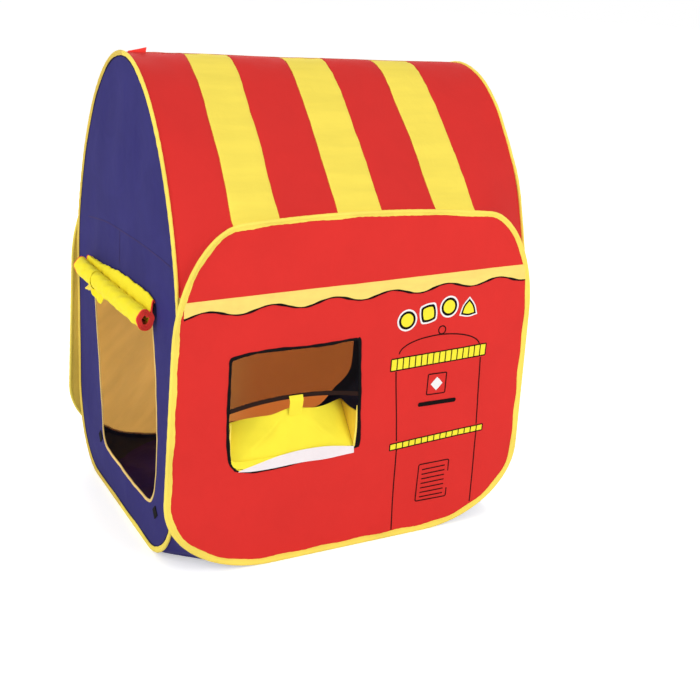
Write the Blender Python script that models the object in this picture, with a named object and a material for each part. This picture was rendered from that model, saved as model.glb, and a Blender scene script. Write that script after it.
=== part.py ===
"""Pop-up play tent: four sprung wire hoops in cloth sleeves, a striped roof and a letter-box front.

The two arched ends stand across X, the front and back panels across Y, and the floor lies at Z = 0.
The hoops stay flat, and the tent folds like a parallelogram about its four upright corners.
"""

import math

import bmesh
import bpy
from mathutils import Vector

# Arched ends, in metres, measured over the sleeves
END_SPACING = 0.814
END_DEPTH = 0.683
END_HEIGHT = 1.020
END_SHOULDER = 0.530
END_CORNER_REACH = 0.156
END_CORNER_RISE = 0.204
ARCH_RISE_POWER = 1.55
ARCH_SPAN_POWER = 1.95

# Front and back hoops, rounded and a little wider at the foot
FRONT_FOOT_WIDTH = 0.880
FRONT_TOP_WIDTH = 0.832
FRONT_HEIGHT = 0.727
FRONT_CROWN = 0.028
FRONT_TOP_REACH = 0.138
FRONT_TOP_DROP = 0.221
FRONT_FOOT_REACH = 0.249
FRONT_FOOT_RISE = 0.183

# Cloth, sleeves and spring wire
CLOTH = 0.0016
TRIM = 0.0010
SEAM_GAP = 0.0003
GORE_GAP = 0.0008
WIRE_RADIUS = 0.0015
SLEEVE_RADIUS = 0.0040
SLEEVE_BORE = 0.0026
SLEEVE_WIDTH = 0.018
SLEEVE_WALL = 0.0008
PANEL_TUCK = 0.0030

# Roof stripes, from the left: wide ones and narrow ones in turn
NARROW_STRIPE = 0.102
STRIPE_COUNT = 7
RIDGE_ROUNDING = 0.080
ROOF_EASE = 0.060
ROOF_DEPTH_SHARES = (1.0, 0.95, 0.84, 0.70, 0.54, 0.38, 0.24, 0.13, 0.05, 0.0)

# Door in the left end, with its rolled-up flap
DOOR_FRONT = -0.222
DOOR_BACK = 0.172
DOOR_SILL = 0.100
DOOR_HEAD = 0.550
DOOR_CORNER = 0.060
BINDING_WIDTH = 0.006
ROLL_FRONT = -0.245
ROLL_BACK = 0.225
SEAM_FRONT = -0.205
ROLL_RADIUS = 0.0255
ROLL_HOLLOW = 0.0085
ROLL_PITCH = 0.0042
ROLL_CLOTH = 0.0014
ROLL_CENTRE_OUT = 0.030
ROLL_CENTRE_Z = 0.533
ROLL_SEAM_Z = 0.564
ROLL_SAG = 0.006
TIE_Y = 0.085
TIE_WIDTH = 0.014
TIE_TAIL = 0.040
PATCH_SIDE = 0.018

# Window and letter hatch in the front panel
WINDOW_LEFT = -0.300
WINDOW_RIGHT = -0.005
WINDOW_FOOT = 0.243
WINDOW_HEAD = 0.480
WINDOW_BORDER = 0.007
HATCH_HEAD = 0.363
HATCH_HEAD_RISE = 0.014
NET_CLOTH = 0.0008
NET_STRAND = 0.0016
NET_COLUMNS = 18
NET_ROWS = 8
NET_BAND = 0.007
FLAP_LENGTH = 0.108
FLAP_CROWN = 0.008
FLAP_MIDDLE_LEAN_DEG = 3.0
FLAP_END_LEAN_DEG = 44.0
FLAP_OVERLAP = 0.003
TAB_WIDTH = 0.031
TAB_ON_FLAP = 0.020
TAB_ABOVE_BAND = 0.003
TAB_BELOW_BAND = 0.004
GUSSET_RISE = 0.104
GUSSET_SAG = 0.012
SILL_STRIP_FOOT = 0.226
SILL_STRIP_LEFT = 0.003
SILL_STRIP_RIGHT = 0.017
SILL_STRIP_BOW = 0.017

# Wavy band across the front, and the loop at the ridge
VALANCE_HEAD = 0.607
VALANCE_DEPTH = 0.028
VALANCE_WAVE = 0.0065
VALANCE_PERIOD = 0.136
VALANCE_FIRST_CREST = -0.354
VALANCE_STEPS_A_WAVE = 8
LOOP_LENGTH = 0.030
LOOP_WIDTH = 0.012
LOOP_LIFT_DEG = 20.0

CUT_OVERRUN = 0.010

# Places that follow from the sizes above
END_X = END_SPACING / 2
FOLD_Y = END_DEPTH / 2 - SLEEVE_RADIUS
PANEL_Y = FOLD_Y + 2 * SLEEVE_RADIUS + SEAM_GAP
CLEAR = SLEEVE_RADIUS + SEAM_GAP
INNER_X = END_X - CLEAR
INNER_Y = PANEL_Y - CLEAR
FLAT_DEPTH = END_DEPTH / 2 - END_CORNER_REACH
FLAT_REACH = FRONT_FOOT_WIDTH / 2 - FRONT_FOOT_REACH
WIDE_STRIPE = (END_SPACING - NARROW_STRIPE * (STRIPE_COUNT // 2)) / (STRIPE_COUNT // 2 + 1)

COLOURS = {
    "red_cloth": (0.72, 0.030, 0.022),
    "yellow_cloth": (0.95, 0.74, 0.09),
    "pale_yellow_cloth": (0.96, 0.80, 0.20),
    "blue_cloth": (0.045, 0.035, 0.20),
    "navy_cloth": (0.020, 0.012, 0.075),
    "black_cloth": (0.010, 0.010, 0.012),
    "white_cloth": (0.85, 0.85, 0.82),
    "spring_steel": (0.45, 0.46, 0.48),
}


def clear_scene():
    for item in list(bpy.data.objects):
        bpy.data.objects.remove(item, do_unlink=True)


def material(name):
    made = bpy.data.materials.get(name)
    if made:
        return made
    made = bpy.data.materials.new(name)
    made.use_nodes = True
    shader = made.node_tree.nodes["Principled BSDF"]
    steel = name == "spring_steel"
    shader.inputs["Base Color"].default_value = (*COLOURS[name], 1.0)
    shader.inputs["Roughness"].default_value = 0.35 if steel else 0.8
    shader.inputs["Metallic"].default_value = 1.0 if steel else 0.0
    return made


def pivot(name, place, parent=None):
    """An empty on a joint's axis, carrying the pieces that move with it."""
    empty = bpy.data.objects.new(name, None)
    bpy.context.scene.collection.objects.link(empty)
    origin = Vector(place)
    if parent:
        empty.parent = parent
        empty.location = origin - Vector(parent["place"])
    else:
        empty.location = origin
    empty["place"] = tuple(origin)
    return empty


def piece(name, bm, colour, parent, smooth=False):
    """One named solid, from a mesh built in the tent's own frame."""
    bmesh.ops.recalc_face_normals(bm, faces=bm.faces)
    bmesh.ops.translate(bm, verts=bm.verts, vec=-Vector(parent["place"]))
    mesh = bpy.data.meshes.new(name)
    bm.to_mesh(mesh)
    bm.free()
    if smooth:
        mesh.shade_smooth()
        mesh.set_sharp_from_angle(angle=math.radians(40))
    mesh.materials.append(material(colour))
    made = bpy.data.objects.new(name, mesh)
    bpy.context.scene.collection.objects.link(made)
    made.parent = parent
    return made


def cut(target, cutter):
    """Takes the cutter's shape out of the target."""
    cutter.hide_render = True
    cutter.display_type = "WIRE"
    modifier = target.modifiers.new("cut", "BOOLEAN")
    modifier.operation = "DIFFERENCE"
    modifier.solver = "EXACT"
    modifier.object = cutter


# Outlines, as closed loops of (across, height)
def arc(centre, reach, rise, start_deg, stop_deg, steps):
    """Points of an elliptical arc, ends included."""
    points = []
    for step in range(steps + 1):
        angle = math.radians(start_deg + (stop_deg - start_deg) * step / steps)
        points.append((centre[0] + reach * math.cos(angle), centre[1] + rise * math.sin(angle)))
    return points


def mirrored(half):
    """The right half of a loop, from the foot to the top, followed by the left half going down."""
    left = [(-across, height) for across, height in reversed(half) if across > 0]
    return half + left


def arch_half_depth(height):
    """Half depth of an arched end above its shoulder."""
    rise = (height - END_SHOULDER) / (END_HEIGHT - END_SHOULDER)
    span = max(0.0, 1.0 - max(0.0, min(1.0, rise)) ** ARCH_RISE_POWER)
    return END_DEPTH / 2 * span ** (1.0 / ARCH_SPAN_POWER)


def arch_wire_height(depth):
    """Height of the arch's wire at a distance from the ridge."""
    share = min(1.0, abs(depth) / (END_DEPTH / 2 - SLEEVE_RADIUS))
    rise = (1.0 - share ** ARCH_SPAN_POWER) ** (1.0 / ARCH_RISE_POWER)
    return END_SHOULDER + (END_HEIGHT - SLEEVE_RADIUS - END_SHOULDER) * rise


def end_outline():
    curve_steps = 12
    corner = (END_DEPTH / 2 - END_CORNER_REACH, END_CORNER_RISE)
    half = [(0.0, 0.0)] + arc(corner, END_CORNER_REACH, END_CORNER_RISE, -90, 0, 6)
    half.append((END_DEPTH / 2, (END_CORNER_RISE + END_SHOULDER) / 2))
    for step in range(curve_steps + 1):
        rise = math.sin(math.pi / 2 * step / curve_steps)
        height = END_SHOULDER + (END_HEIGHT - END_SHOULDER) * rise
        half.append((arch_half_depth(height), height))
    return mirrored(half)


def front_outline():
    half_width = FRONT_FOOT_WIDTH / 2
    foot = (half_width - FRONT_FOOT_REACH, FRONT_FOOT_RISE)
    top = (half_width - FRONT_TOP_REACH, FRONT_HEIGHT - FRONT_TOP_DROP)
    half = [(0.0, 0.0)] + arc(foot, FRONT_FOOT_REACH, FRONT_FOOT_RISE, -90, 0, 7)
    half.append((half_width, (foot[1] + top[1]) / 2))
    half += arc(top, FRONT_TOP_REACH, FRONT_TOP_DROP, 0, 90, 7)
    half += [(top[0] / 2, FRONT_HEIGHT), (0.0, FRONT_HEIGHT)]
    shaped = []
    for across, height in half:
        taper = 1.0 + (FRONT_TOP_WIDTH / FRONT_FOOT_WIDTH - 1.0) * height / FRONT_HEIGHT
        crown = FRONT_CROWN * height / FRONT_HEIGHT * (1.0 - (across / half_width) ** 2)
        shaped.append((across * taper, height + crown))
    return mirrored(shaped)


def inward_normals(loop):
    """Mitred normals of a counterclockwise loop, pointing into it."""
    normals = []
    for here, point in enumerate(loop):
        before = Vector(point) - Vector(loop[here - 1])
        after = Vector(loop[(here + 1) % len(loop)]) - Vector(point)
        first = Vector((-before.y, before.x)).normalized()
        second = Vector((-after.y, after.x)).normalized()
        middle = (first + second).normalized()
        normals.append(middle / middle.dot(first))
    return normals


def inset(loop, distance):
    return [tuple(Vector(point) + normal * distance) for point, normal in zip(loop, inward_normals(loop))]


def height_on(loop, across):
    """Height of a loop's upper side at a distance across it."""
    best = 0.0
    for first, second in zip(loop, loop[1:] + loop[:1]):
        low, high = sorted((first, second))
        if low[0] <= across <= high[0] and high[0] > low[0]:
            share = (across - low[0]) / (high[0] - low[0])
            best = max(best, low[1] + share * (high[1] - low[1]))
    return best


def across_on(loop, height):
    """Half width of a loop at a height."""
    best = 0.0
    for first, second in zip(loop, loop[1:] + loop[:1]):
        low, high = sorted((first[::-1], second[::-1]))
        if low[0] <= height <= high[0] and high[0] > low[0]:
            share = (height - low[0]) / (high[0] - low[0])
            best = max(best, abs(low[1] + share * (high[1] - low[1])))
    return best


END_EDGE = end_outline()
FRONT_EDGE = front_outline()
END_WIRE_LINE = inset(END_EDGE, SLEEVE_RADIUS)
FRONT_WIRE_LINE = inset(FRONT_EDGE, SLEEVE_RADIUS)


# Placing a flat shape: (across, height, out) to the tent's frame
def on_end(end_x):
    outward = 1.0 if end_x > 0 else -1.0
    return lambda across, height, out: Vector((end_x + outward * out, across, height))


def on_panel(panel_y):
    outward = 1.0 if panel_y > 0 else -1.0
    return lambda across, height, out: Vector((across, panel_y + outward * out, height))


# Solids
def prism(loop, low, high, place):
    """A flat sheet between two distances from its plane."""
    bm = bmesh.new()
    back = [bm.verts.new(place(across, height, low)) for across, height in loop]
    front = [bm.verts.new(place(across, height, high)) for across, height in loop]
    bm.faces.new(back)
    bm.faces.new(front[::-1])
    count = len(loop)
    for here in range(count):
        there = (here + 1) % count
        bm.faces.new((back[here], back[there], front[there], front[here]))
    return bm


def swept_loop(path, section, place):
    """A section of (inward, out) points carried round a closed flat path."""
    bm = bmesh.new()
    rings = []
    for point, normal in zip(path, inward_normals(path)):
        ring = []
        for inward, out in section:
            across, height = Vector(point) + normal * inward
            ring.append(bm.verts.new(place(across, height, out)))
        rings.append(ring)
    size = len(section)
    for here, ring in enumerate(rings):
        following = rings[(here + 1) % len(rings)]
        for corner in range(size):
            nearby = (corner + 1) % size
            bm.faces.new((ring[corner], ring[nearby], following[nearby], following[corner]))
    return bm


def swept_strip(path, section, place):
    """A section carried along an open flat path, with both ends capped."""
    bm = bmesh.new()
    rings = []
    for here, point in enumerate(path):
        before = Vector(path[max(here - 1, 0)])
        after = Vector(path[min(here + 1, len(path) - 1)])
        along = (after - before).normalized()
        normal = Vector((-along.y, along.x))
        ring = []
        for inward, out in section:
            across, height = Vector(point) + normal * inward
            ring.append(bm.verts.new(place(across, height, out)))
        rings.append(ring)
    size = len(section)
    for ring, following in zip(rings, rings[1:]):
        for corner in range(size):
            nearby = (corner + 1) % size
            bm.faces.new((ring[corner], ring[nearby], following[nearby], following[corner]))
    bm.faces.new(rings[0][::-1])
    bm.faces.new(rings[-1])
    return bm


def sheet(rows, thickness, inside):
    """A cloth shell over a grid of points, thickened towards a point inside the tent."""
    bm = bmesh.new()
    grid = [[Vector(point) for point in row] for row in rows]
    centre = Vector(inside)
    outer = []
    inner = []
    for row_number, row in enumerate(grid):
        outer.append([])
        inner.append([])
        for column, point in enumerate(row):
            left = row[max(column - 1, 0)]
            right = row[min(column + 1, len(row) - 1)]
            below = grid[max(row_number - 1, 0)][column]
            above = grid[min(row_number + 1, len(grid) - 1)][column]
            normal = (right - left).cross(above - below).normalized()
            if normal.dot(centre - point) < 0:
                normal.negate()
            outer[-1].append(bm.verts.new(point))
            inner[-1].append(bm.verts.new(point + normal * thickness))
    last_row = len(grid) - 1
    last_column = len(grid[0]) - 1
    for row in range(last_row):
        for column in range(last_column):
            for side in (outer, inner):
                bm.faces.new((side[row][column], side[row][column + 1],
                              side[row + 1][column + 1], side[row + 1][column]))
        for column in (0, last_column):
            bm.faces.new((outer[row][column], outer[row + 1][column],
                          inner[row + 1][column], inner[row][column]))
    for column in range(last_column):
        for row in (0, last_row):
            bm.faces.new((outer[row][column], outer[row][column + 1],
                          inner[row][column + 1], inner[row][column]))
    return bm


def rectangle(left, right, foot, head):
    return [(left, foot), (right, foot), (right, head), (left, head)]


def sleeve_section():
    """A bead round the wire, and two legs that hold the panel's edge, as (inward, out)."""
    leg_in = CLOTH / 2 + SEAM_GAP
    leg_out = leg_in + SLEEVE_WALL
    tip = SLEEVE_WIDTH - SLEEVE_RADIUS
    neck = SLEEVE_RADIUS + SLEEVE_WALL
    mouth = math.sqrt(SLEEVE_BORE ** 2 - leg_in ** 2)
    bead = arc((0.0, 0.0), SLEEVE_RADIUS, SLEEVE_RADIUS, 45, 315, 6)
    bore = [(mouth, -leg_in), (0.0, -SLEEVE_BORE), (-SLEEVE_BORE, 0.0), (0.0, SLEEVE_BORE), (mouth, leg_in)]
    return ([(tip, leg_in), (tip, leg_out), (neck, leg_out)] + bead
            + [(neck, -leg_out), (tip, -leg_out), (tip, -leg_in)] + bore)


def wire_section():
    return arc((0.0, 0.0), WIRE_RADIUS, WIRE_RADIUS, 0, 300, 5)


def hooped_panel(name, wire_line, place, colour, parent, sleeve_colour="pale_yellow_cloth"):
    """A panel of cloth with its spring wire and the sleeve that joins them."""
    panel_loop = inset(wire_line, PANEL_TUCK)
    panel = piece(name + "_panel", prism(panel_loop, -CLOTH / 2, CLOTH / 2, place), colour, parent)
    piece(name + "_sleeve", swept_loop(wire_line, sleeve_section(), place), sleeve_colour, parent, True)
    piece(name + "_wire_hoop", swept_loop(wire_line, wire_section(), place), "spring_steel", parent, True)
    return panel


# The roof: a taut section between the panel's hoop and the ridge, rounded there, that meets each arch
def taut_height(across, depth):
    """Height of the taut roof above one point of the plan."""
    low = height_on(FRONT_WIRE_LINE, across)
    high = END_HEIGHT - SLEEVE_RADIUS
    full = math.hypot(INNER_Y, RIDGE_ROUNDING) - RIDGE_ROUNDING
    fall = math.hypot(depth, RIDGE_ROUNDING) - RIDGE_ROUNDING
    return high - (high - low) * fall / full


def roof_height(across, depth):
    """The taut roof, drawn to the arch's own curve beside each end."""
    edge_low = height_on(FRONT_WIRE_LINE, INNER_X)
    arch = max(edge_low, arch_wire_height(depth))
    pull = math.exp(-(INNER_X - abs(across)) / ROOF_EASE)
    return taut_height(across, depth) + pull * (arch - taut_height(INNER_X, depth))


def stripe_edges():
    edges = [-END_X]
    for stripe in range(STRIPE_COUNT):
        edges.append(edges[-1] + (WIDE_STRIPE if stripe % 2 == 0 else NARROW_STRIPE))
    return edges


def roof_half(name, side, parent):
    """Seven stripes from the ridge down to one panel's hoop."""
    edges = stripe_edges()
    for stripe in range(STRIPE_COUNT):
        left = max(edges[stripe] + SEAM_GAP / 2, -INNER_X)
        right = min(edges[stripe + 1] - SEAM_GAP / 2, INNER_X)
        outermost = stripe in (0, STRIPE_COUNT - 1)
        columns = 7 if outermost else 3
        rows = []
        for share in ROOF_DEPTH_SHARES:
            depth = SEAM_GAP + (INNER_Y - SEAM_GAP) * share
            row = []
            for column in range(columns):
                across = left + (right - left) * column / (columns - 1)
                row.append((across, side * depth, roof_height(across, depth)))
            rows.append(row)
        colour = "red_cloth" if stripe % 2 == 0 else "yellow_cloth"
        piece(f"{name}_stripe_{stripe + 1}", sheet(rows, CLOTH, (0.0, 0.0, END_SHOULDER)), colour, parent, True)


def corner_gore(name, side_x, side_y, parent):
    """The cloth that closes a lower corner between the arch's curve and the panel's curve."""
    top = END_CORNER_RISE - SLEEVE_RADIUS
    count = 9
    rows = []
    for step in range(count):
        height = top * (step / (count - 1)) ** 2
        arch_depth = max(FLAT_DEPTH, across_on(END_WIRE_LINE, height + SLEEVE_RADIUS))
        panel_reach = min(max(FLAT_REACH, across_on(FRONT_WIRE_LINE, height + SLEEVE_RADIUS)), INNER_X)
        arch_point = Vector((side_x * INNER_X, side_y * arch_depth, height))
        panel_point = Vector((side_x * panel_reach, side_y * INNER_Y, height))
        rows.append([arch_point, (arch_point + panel_point) / 2, panel_point])
    piece(name, sheet(rows, CLOTH, (0.0, 0.0, END_SHOULDER)), "blue_cloth", parent, True)


def floor_sheet(parent):
    """The ground sheet, cut across at the four corners where the gores rise."""
    quarter = [(INNER_X, FLAT_DEPTH - GORE_GAP), (FLAT_REACH - GORE_GAP, INNER_Y)]
    loop = quarter + [(-x, y) for x, y in reversed(quarter)]
    loop += [(x, -y) for x, y in reversed(loop)]
    piece("floor_sheet", prism(loop, 0.0, CLOTH, lambda x, y, z: Vector((x, y, z))), "navy_cloth", parent)


def door_loop(grow=0.0):
    """The door opening: straight sides, rounded lower corners."""
    front = DOOR_FRONT - grow
    back = DOOR_BACK + grow
    sill = DOOR_SILL - grow
    corner = DOOR_CORNER + grow
    loop = arc((front + corner, sill + corner), corner, corner, 180, 270, 5)
    loop += arc((back - corner, sill + corner), corner, corner, 270, 360, 5)
    return loop


def door_opening(panel, place, parent):
    """Cuts the door out of the left panel and binds its edge."""
    loop = [(DOOR_FRONT, DOOR_HEAD)] + door_loop() + [(DOOR_BACK, DOOR_HEAD)]
    cutter = piece("door_cutter", prism(loop, -CUT_OVERRUN, CUT_OVERRUN, place), "blue_cloth", parent)
    cut(panel, cutter)
    path = [(DOOR_FRONT, DOOR_HEAD - SEAM_GAP)] + door_loop() + [(DOOR_BACK, DOOR_HEAD - SEAM_GAP)]
    low = CLOTH / 2 + SEAM_GAP
    high = low + SLEEVE_WALL
    inner = SEAM_GAP + SLEEVE_WALL
    section = [(inner, high), (-BINDING_WIDTH, high), (-BINDING_WIDTH, low), (SEAM_GAP, low),
               (SEAM_GAP, -low), (-BINDING_WIDTH, -low), (-BINDING_WIDTH, -high), (inner, -high)]
    piece("door_binding", swept_strip(path, section, place), "pale_yellow_cloth", parent)


def corner_patches(place, parent):
    """Two small hook-and-loop squares, set on their points at the door's lower corners."""
    half = PATCH_SIDE / math.sqrt(2)
    low = CLOTH / 2 + SEAM_GAP
    for name, across in (("door_patch_front", DOOR_FRONT), ("door_patch_back", DOOR_BACK)):
        loop = arc((across, DOOR_SILL), half, half, 0, 270, 3)
        piece(name, prism(loop, low, low + TRIM, place), "black_cloth", parent)


def roll_profile():
    """The rolled door in section, as (out, height) from the left panel: one long spiral of cloth."""
    turns = (ROLL_RADIUS - ROLL_HOLLOW) / ROLL_PITCH
    steps_a_turn = 11
    count = int(turns * steps_a_turn)
    start = math.radians(100)
    centre = Vector((ROLL_CENTRE_OUT, ROLL_CENTRE_Z))
    line = [Vector((CLOTH / 2 + SEAM_GAP + ROLL_CLOTH / 2, ROLL_SEAM_Z))]
    for step in range(count + 1):
        turn = step / steps_a_turn
        angle = start - 2 * math.pi * turn
        radius = ROLL_RADIUS - ROLL_CLOTH / 2 - ROLL_PITCH * turn
        line.append(centre + radius * Vector((-math.cos(angle), math.sin(angle))))
    first = []
    second = []
    for here, point in enumerate(line):
        along = (line[min(here + 1, count)] - line[max(here - 1, 0)]).normalized()
        normal = Vector((-along.y, along.x)) * ROLL_CLOTH / 2
        first.append(point + normal)
        second.append(point - normal)
    return first + second[::-1]


def rolled_door(parent):
    profile = roll_profile()
    bm = bmesh.new()
    rings = []
    stations = 7
    for station in range(stations):
        share = station / (stations - 1)
        sag = ROLL_SAG * (4 * share * (1 - share) - 1) * 0.5
        ring = []
        for out, height in profile:
            hang = 0.0 if height > ROLL_CENTRE_Z + ROLL_RADIUS else 1.0
            front = SEAM_FRONT if hang == 0.0 else ROLL_FRONT
            ring.append(bm.verts.new((-END_X - out, front + (ROLL_BACK - front) * share, height - sag * hang)))
        rings.append(ring)
    size = len(profile)
    for ring, following in zip(rings, rings[1:]):
        for corner in range(size):
            nearby = (corner + 1) % size
            bm.faces.new((ring[corner], ring[nearby], following[nearby], following[corner]))
    bm.faces.new(rings[0][::-1])
    bm.faces.new(rings[-1])
    piece("rolled_door", bm, "yellow_cloth", parent, True)


def roll_tie(place, parent):
    """A tie tape round the outside of the rolled door, with its tail hanging."""
    reach = ROLL_RADIUS + 2 * SEAM_GAP + TRIM / 2
    centre = (ROLL_CENTRE_OUT, ROLL_CENTRE_Z)
    line = arc(centre, reach, reach, 80, -100, 14)
    tail = (line[-1][0] - TIE_TAIL / 4, line[-1][1] - TIE_TAIL)
    line.append(tail)
    section = [(-TRIM / 2, -TIE_WIDTH / 2), (TRIM / 2, -TIE_WIDTH / 2),
               (TRIM / 2, TIE_WIDTH / 2), (-TRIM / 2, TIE_WIDTH / 2)]
    piece("roll_tie", swept_strip(line, section, place), "yellow_cloth", parent)


def ridge_loop(parent):
    """A short loop of tape on the left arch's sleeve, at the end of the ridge."""
    lift = math.radians(LOOP_LIFT_DEG)
    start = Vector((-END_X, END_HEIGHT + SEAM_GAP))
    along = Vector((math.cos(lift), math.sin(lift)))
    loop = [start, start + along * LOOP_LENGTH]
    normal = Vector((-along.y, along.x)) * TRIM
    loop += [loop[1] + normal, start + normal]
    points = [(point.x, point.y) for point in loop]
    solid = prism(points, -LOOP_WIDTH / 2, LOOP_WIDTH / 2, lambda x, z, y: Vector((x, y, z)))
    piece("ridge_loop", solid, "red_cloth", parent)


def hatch_head(across):
    """The net's lower edge: it bows up between the window's sides."""
    middle = (WINDOW_LEFT + WINDOW_RIGHT) / 2
    half = (WINDOW_RIGHT - WINDOW_LEFT) / 2 - WINDOW_BORDER
    return HATCH_HEAD + HATCH_HEAD_RISE * (1.0 - ((across - middle) / half) ** 2)


def strand_edges(low, high, gaps):
    """Both edges of each strand, for strands at even steps with gaps between them."""
    pitch = (high - low - NET_STRAND) / gaps
    edges = []
    for strand in range(gaps + 1):
        start = low + pitch * strand
        edges += [start, start + NET_STRAND]
    return edges


def netting(left, right, head, place):
    """A flat net, coarser than the real one, whose lower edge follows the band."""
    bm = bmesh.new()
    columns = strand_edges(left, right, NET_COLUMNS)
    layers = []
    for through in (-NET_CLOTH / 2, NET_CLOTH / 2):
        layer = []
        for across in columns:
            heights = strand_edges(hatch_head(across), head, NET_ROWS)
            layer.append([bm.verts.new(place(across, height, through)) for height in heights])
        layers.append(layer)
    wide = len(columns) - 1
    high = 2 * NET_ROWS + 1

    def is_cloth(column, row):
        inside = 0 <= column < wide and 0 <= row < high
        return inside and not (column % 2 and row % 2)

    for column in range(wide):
        for row in range(high):
            if not is_cloth(column, row):
                continue
            corners = [(column, row), (column + 1, row), (column + 1, row + 1), (column, row + 1)]
            beside = [(column, row - 1), (column + 1, row), (column, row + 1), (column - 1, row)]
            for layer in layers:
                bm.faces.new([layer[a][b] for a, b in corners])
            for side, neighbour in enumerate(beside):
                if not is_cloth(*neighbour):
                    a, b = corners[side]
                    c, d = corners[(side + 1) % 4]
                    bm.faces.new((layers[0][a][b], layers[0][c][d], layers[1][c][d], layers[1][a][b]))
    return bm


def window(panel, place, parent):
    """The window's cut, its black border, the net above and the band along the net's lower edge."""
    left = WINDOW_LEFT + WINDOW_BORDER
    right = WINDOW_RIGHT - WINDOW_BORDER
    foot = WINDOW_FOOT + WINDOW_BORDER
    head = WINDOW_HEAD - WINDOW_BORDER
    hole = rectangle(left, right, foot, head)
    cut(panel, piece("window_cutter", prism(hole, -CUT_OVERRUN, CUT_OVERRUN, place), "red_cloth", parent))
    low = CLOTH / 2 + SEAM_GAP
    edge = rectangle(WINDOW_LEFT, WINDOW_RIGHT, WINDOW_FOOT, WINDOW_HEAD)
    section = [(0.0, low), (WINDOW_BORDER + SEAM_GAP + TRIM, low),
               (WINDOW_BORDER + SEAM_GAP + TRIM, low + TRIM), (0.0, low + TRIM)]
    piece("window_border", swept_loop(edge, section, place), "black_cloth", parent)
    steps = 10
    left += SEAM_GAP
    right -= SEAM_GAP
    across = [left + (right - left) * step / steps for step in range(steps + 1)]
    piece("window_net", netting(left, right, head - SEAM_GAP, place), "black_cloth", parent)
    band = [(x, hatch_head(x) - NET_BAND - SEAM_GAP) for x in across]
    band += [(x, hatch_head(x) - SEAM_GAP) for x in reversed(across)]
    piece("net_band", prism(band, -TRIM / 2, TRIM / 2, place), "black_cloth", parent)


def flap_point(hinge, half, across_share, along, through):
    """A point of the flap: its tab holds its middle upright, and its ends lean in."""
    lean = math.radians(FLAP_MIDDLE_LEAN_DEG + (FLAP_END_LEAN_DEG - FLAP_MIDDLE_LEAN_DEG) * across_share ** 2)
    up = along * math.cos(lean) + through * math.sin(lean)
    back = along * math.sin(lean) - through * math.cos(lean)
    return hinge + Vector((half * across_share, back, up))


def hatch_flap(hinge, half, parent):
    columns = 16
    rows = []
    for along_share in (0.0, 0.5, 1.0):
        row = []
        for column in range(columns + 1):
            across_share = 2 * column / columns - 1
            length = FLAP_LENGTH - FLAP_CROWN * across_share ** 2
            row.append(flap_point(hinge, half, across_share, length * along_share, CLOTH / 2))
        rows.append(row)
    piece("hatch_flap", sheet(rows, CLOTH, (hinge.x, 0.0, 0.0)), "yellow_cloth", parent, True)


def hatch_tab(hinge, half, parent):
    """A tab sewn on the flap, whose end is held on the front of the net's band."""
    sewn = flap_point(hinge, half, 0.0, FLAP_LENGTH - TAB_ON_FLAP, CLOTH / 2 + SEAM_GAP + TRIM / 2)
    front = -PANEL_Y - TRIM - SEAM_GAP
    head = hatch_head(hinge.x)
    line = [(sewn.y, sewn.z), (front, head - NET_BAND - TAB_BELOW_BAND), (front, head + TAB_ABOVE_BAND)]
    section = [(-TRIM / 2, -TAB_WIDTH / 2), (TRIM / 2, -TAB_WIDTH / 2),
               (TRIM / 2, TAB_WIDTH / 2), (-TRIM / 2, TAB_WIDTH / 2)]
    solid = swept_strip(line, section, lambda y, z, x: Vector((hinge.x + x, y, z)))
    piece("hatch_tab", solid, "yellow_cloth", parent)


def hatch_gussets(hinge, half, parent):
    """The slack cloth between the flap's ends and the panel, with a free edge that sags."""
    steps = 4
    rim = flap_point(hinge, half, 1.0, FLAP_LENGTH - FLAP_CROWN, CLOTH / 2)
    face = hinge.y - CLOTH / 2
    loop = [(face, hinge.z)]
    for step in range(steps + 1):
        share = step / steps
        sag = 4 * GUSSET_SAG * share * (1 - share)
        loop.append((rim.y + (face - rim.y) * share, rim.z + (hinge.z + GUSSET_RISE - rim.z) * share - sag))
    near = half + SEAM_GAP
    for name, side in (("hatch_gusset_left", -1), ("hatch_gusset_right", 1)):
        solid = prism(loop, near, near + CLOTH, lambda y, z, out, side=side: Vector((hinge.x + side * out, y, z)))
        piece(name, solid, "yellow_cloth", parent)


def sill_strip(hinge, half, place, parent):
    """The pale hem that shows under the flap, over the window's border."""
    steps = 10
    low = CLOTH / 2 + 2 * SEAM_GAP + TRIM
    loop = [(hinge.x - half, SILL_STRIP_FOOT), (hinge.x + half, SILL_STRIP_FOOT)]
    for step in range(steps + 1):
        share = 1 - step / steps
        height = SILL_STRIP_LEFT + (SILL_STRIP_RIGHT - SILL_STRIP_LEFT) * share
        height += 4 * SILL_STRIP_BOW * share * (1 - share)
        loop.append((hinge.x + half * (2 * share - 1), SILL_STRIP_FOOT + height))
    piece("hatch_sill_strip", prism(loop, low, low + TRIM, place), "white_cloth", parent)


def hatch(place, parent, fixed):
    """The letter flap on the sill, with its tab, the gussets at its ends and the hem below it."""
    half = (WINDOW_RIGHT - WINDOW_LEFT) / 2 - WINDOW_BORDER + FLAP_OVERLAP
    hinge = Vector(parent["place"])
    hatch_flap(hinge, half, parent)
    hatch_tab(hinge, half, parent)
    hatch_gussets(hinge, half, fixed)
    sill_strip(hinge, half, place, fixed)


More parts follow.
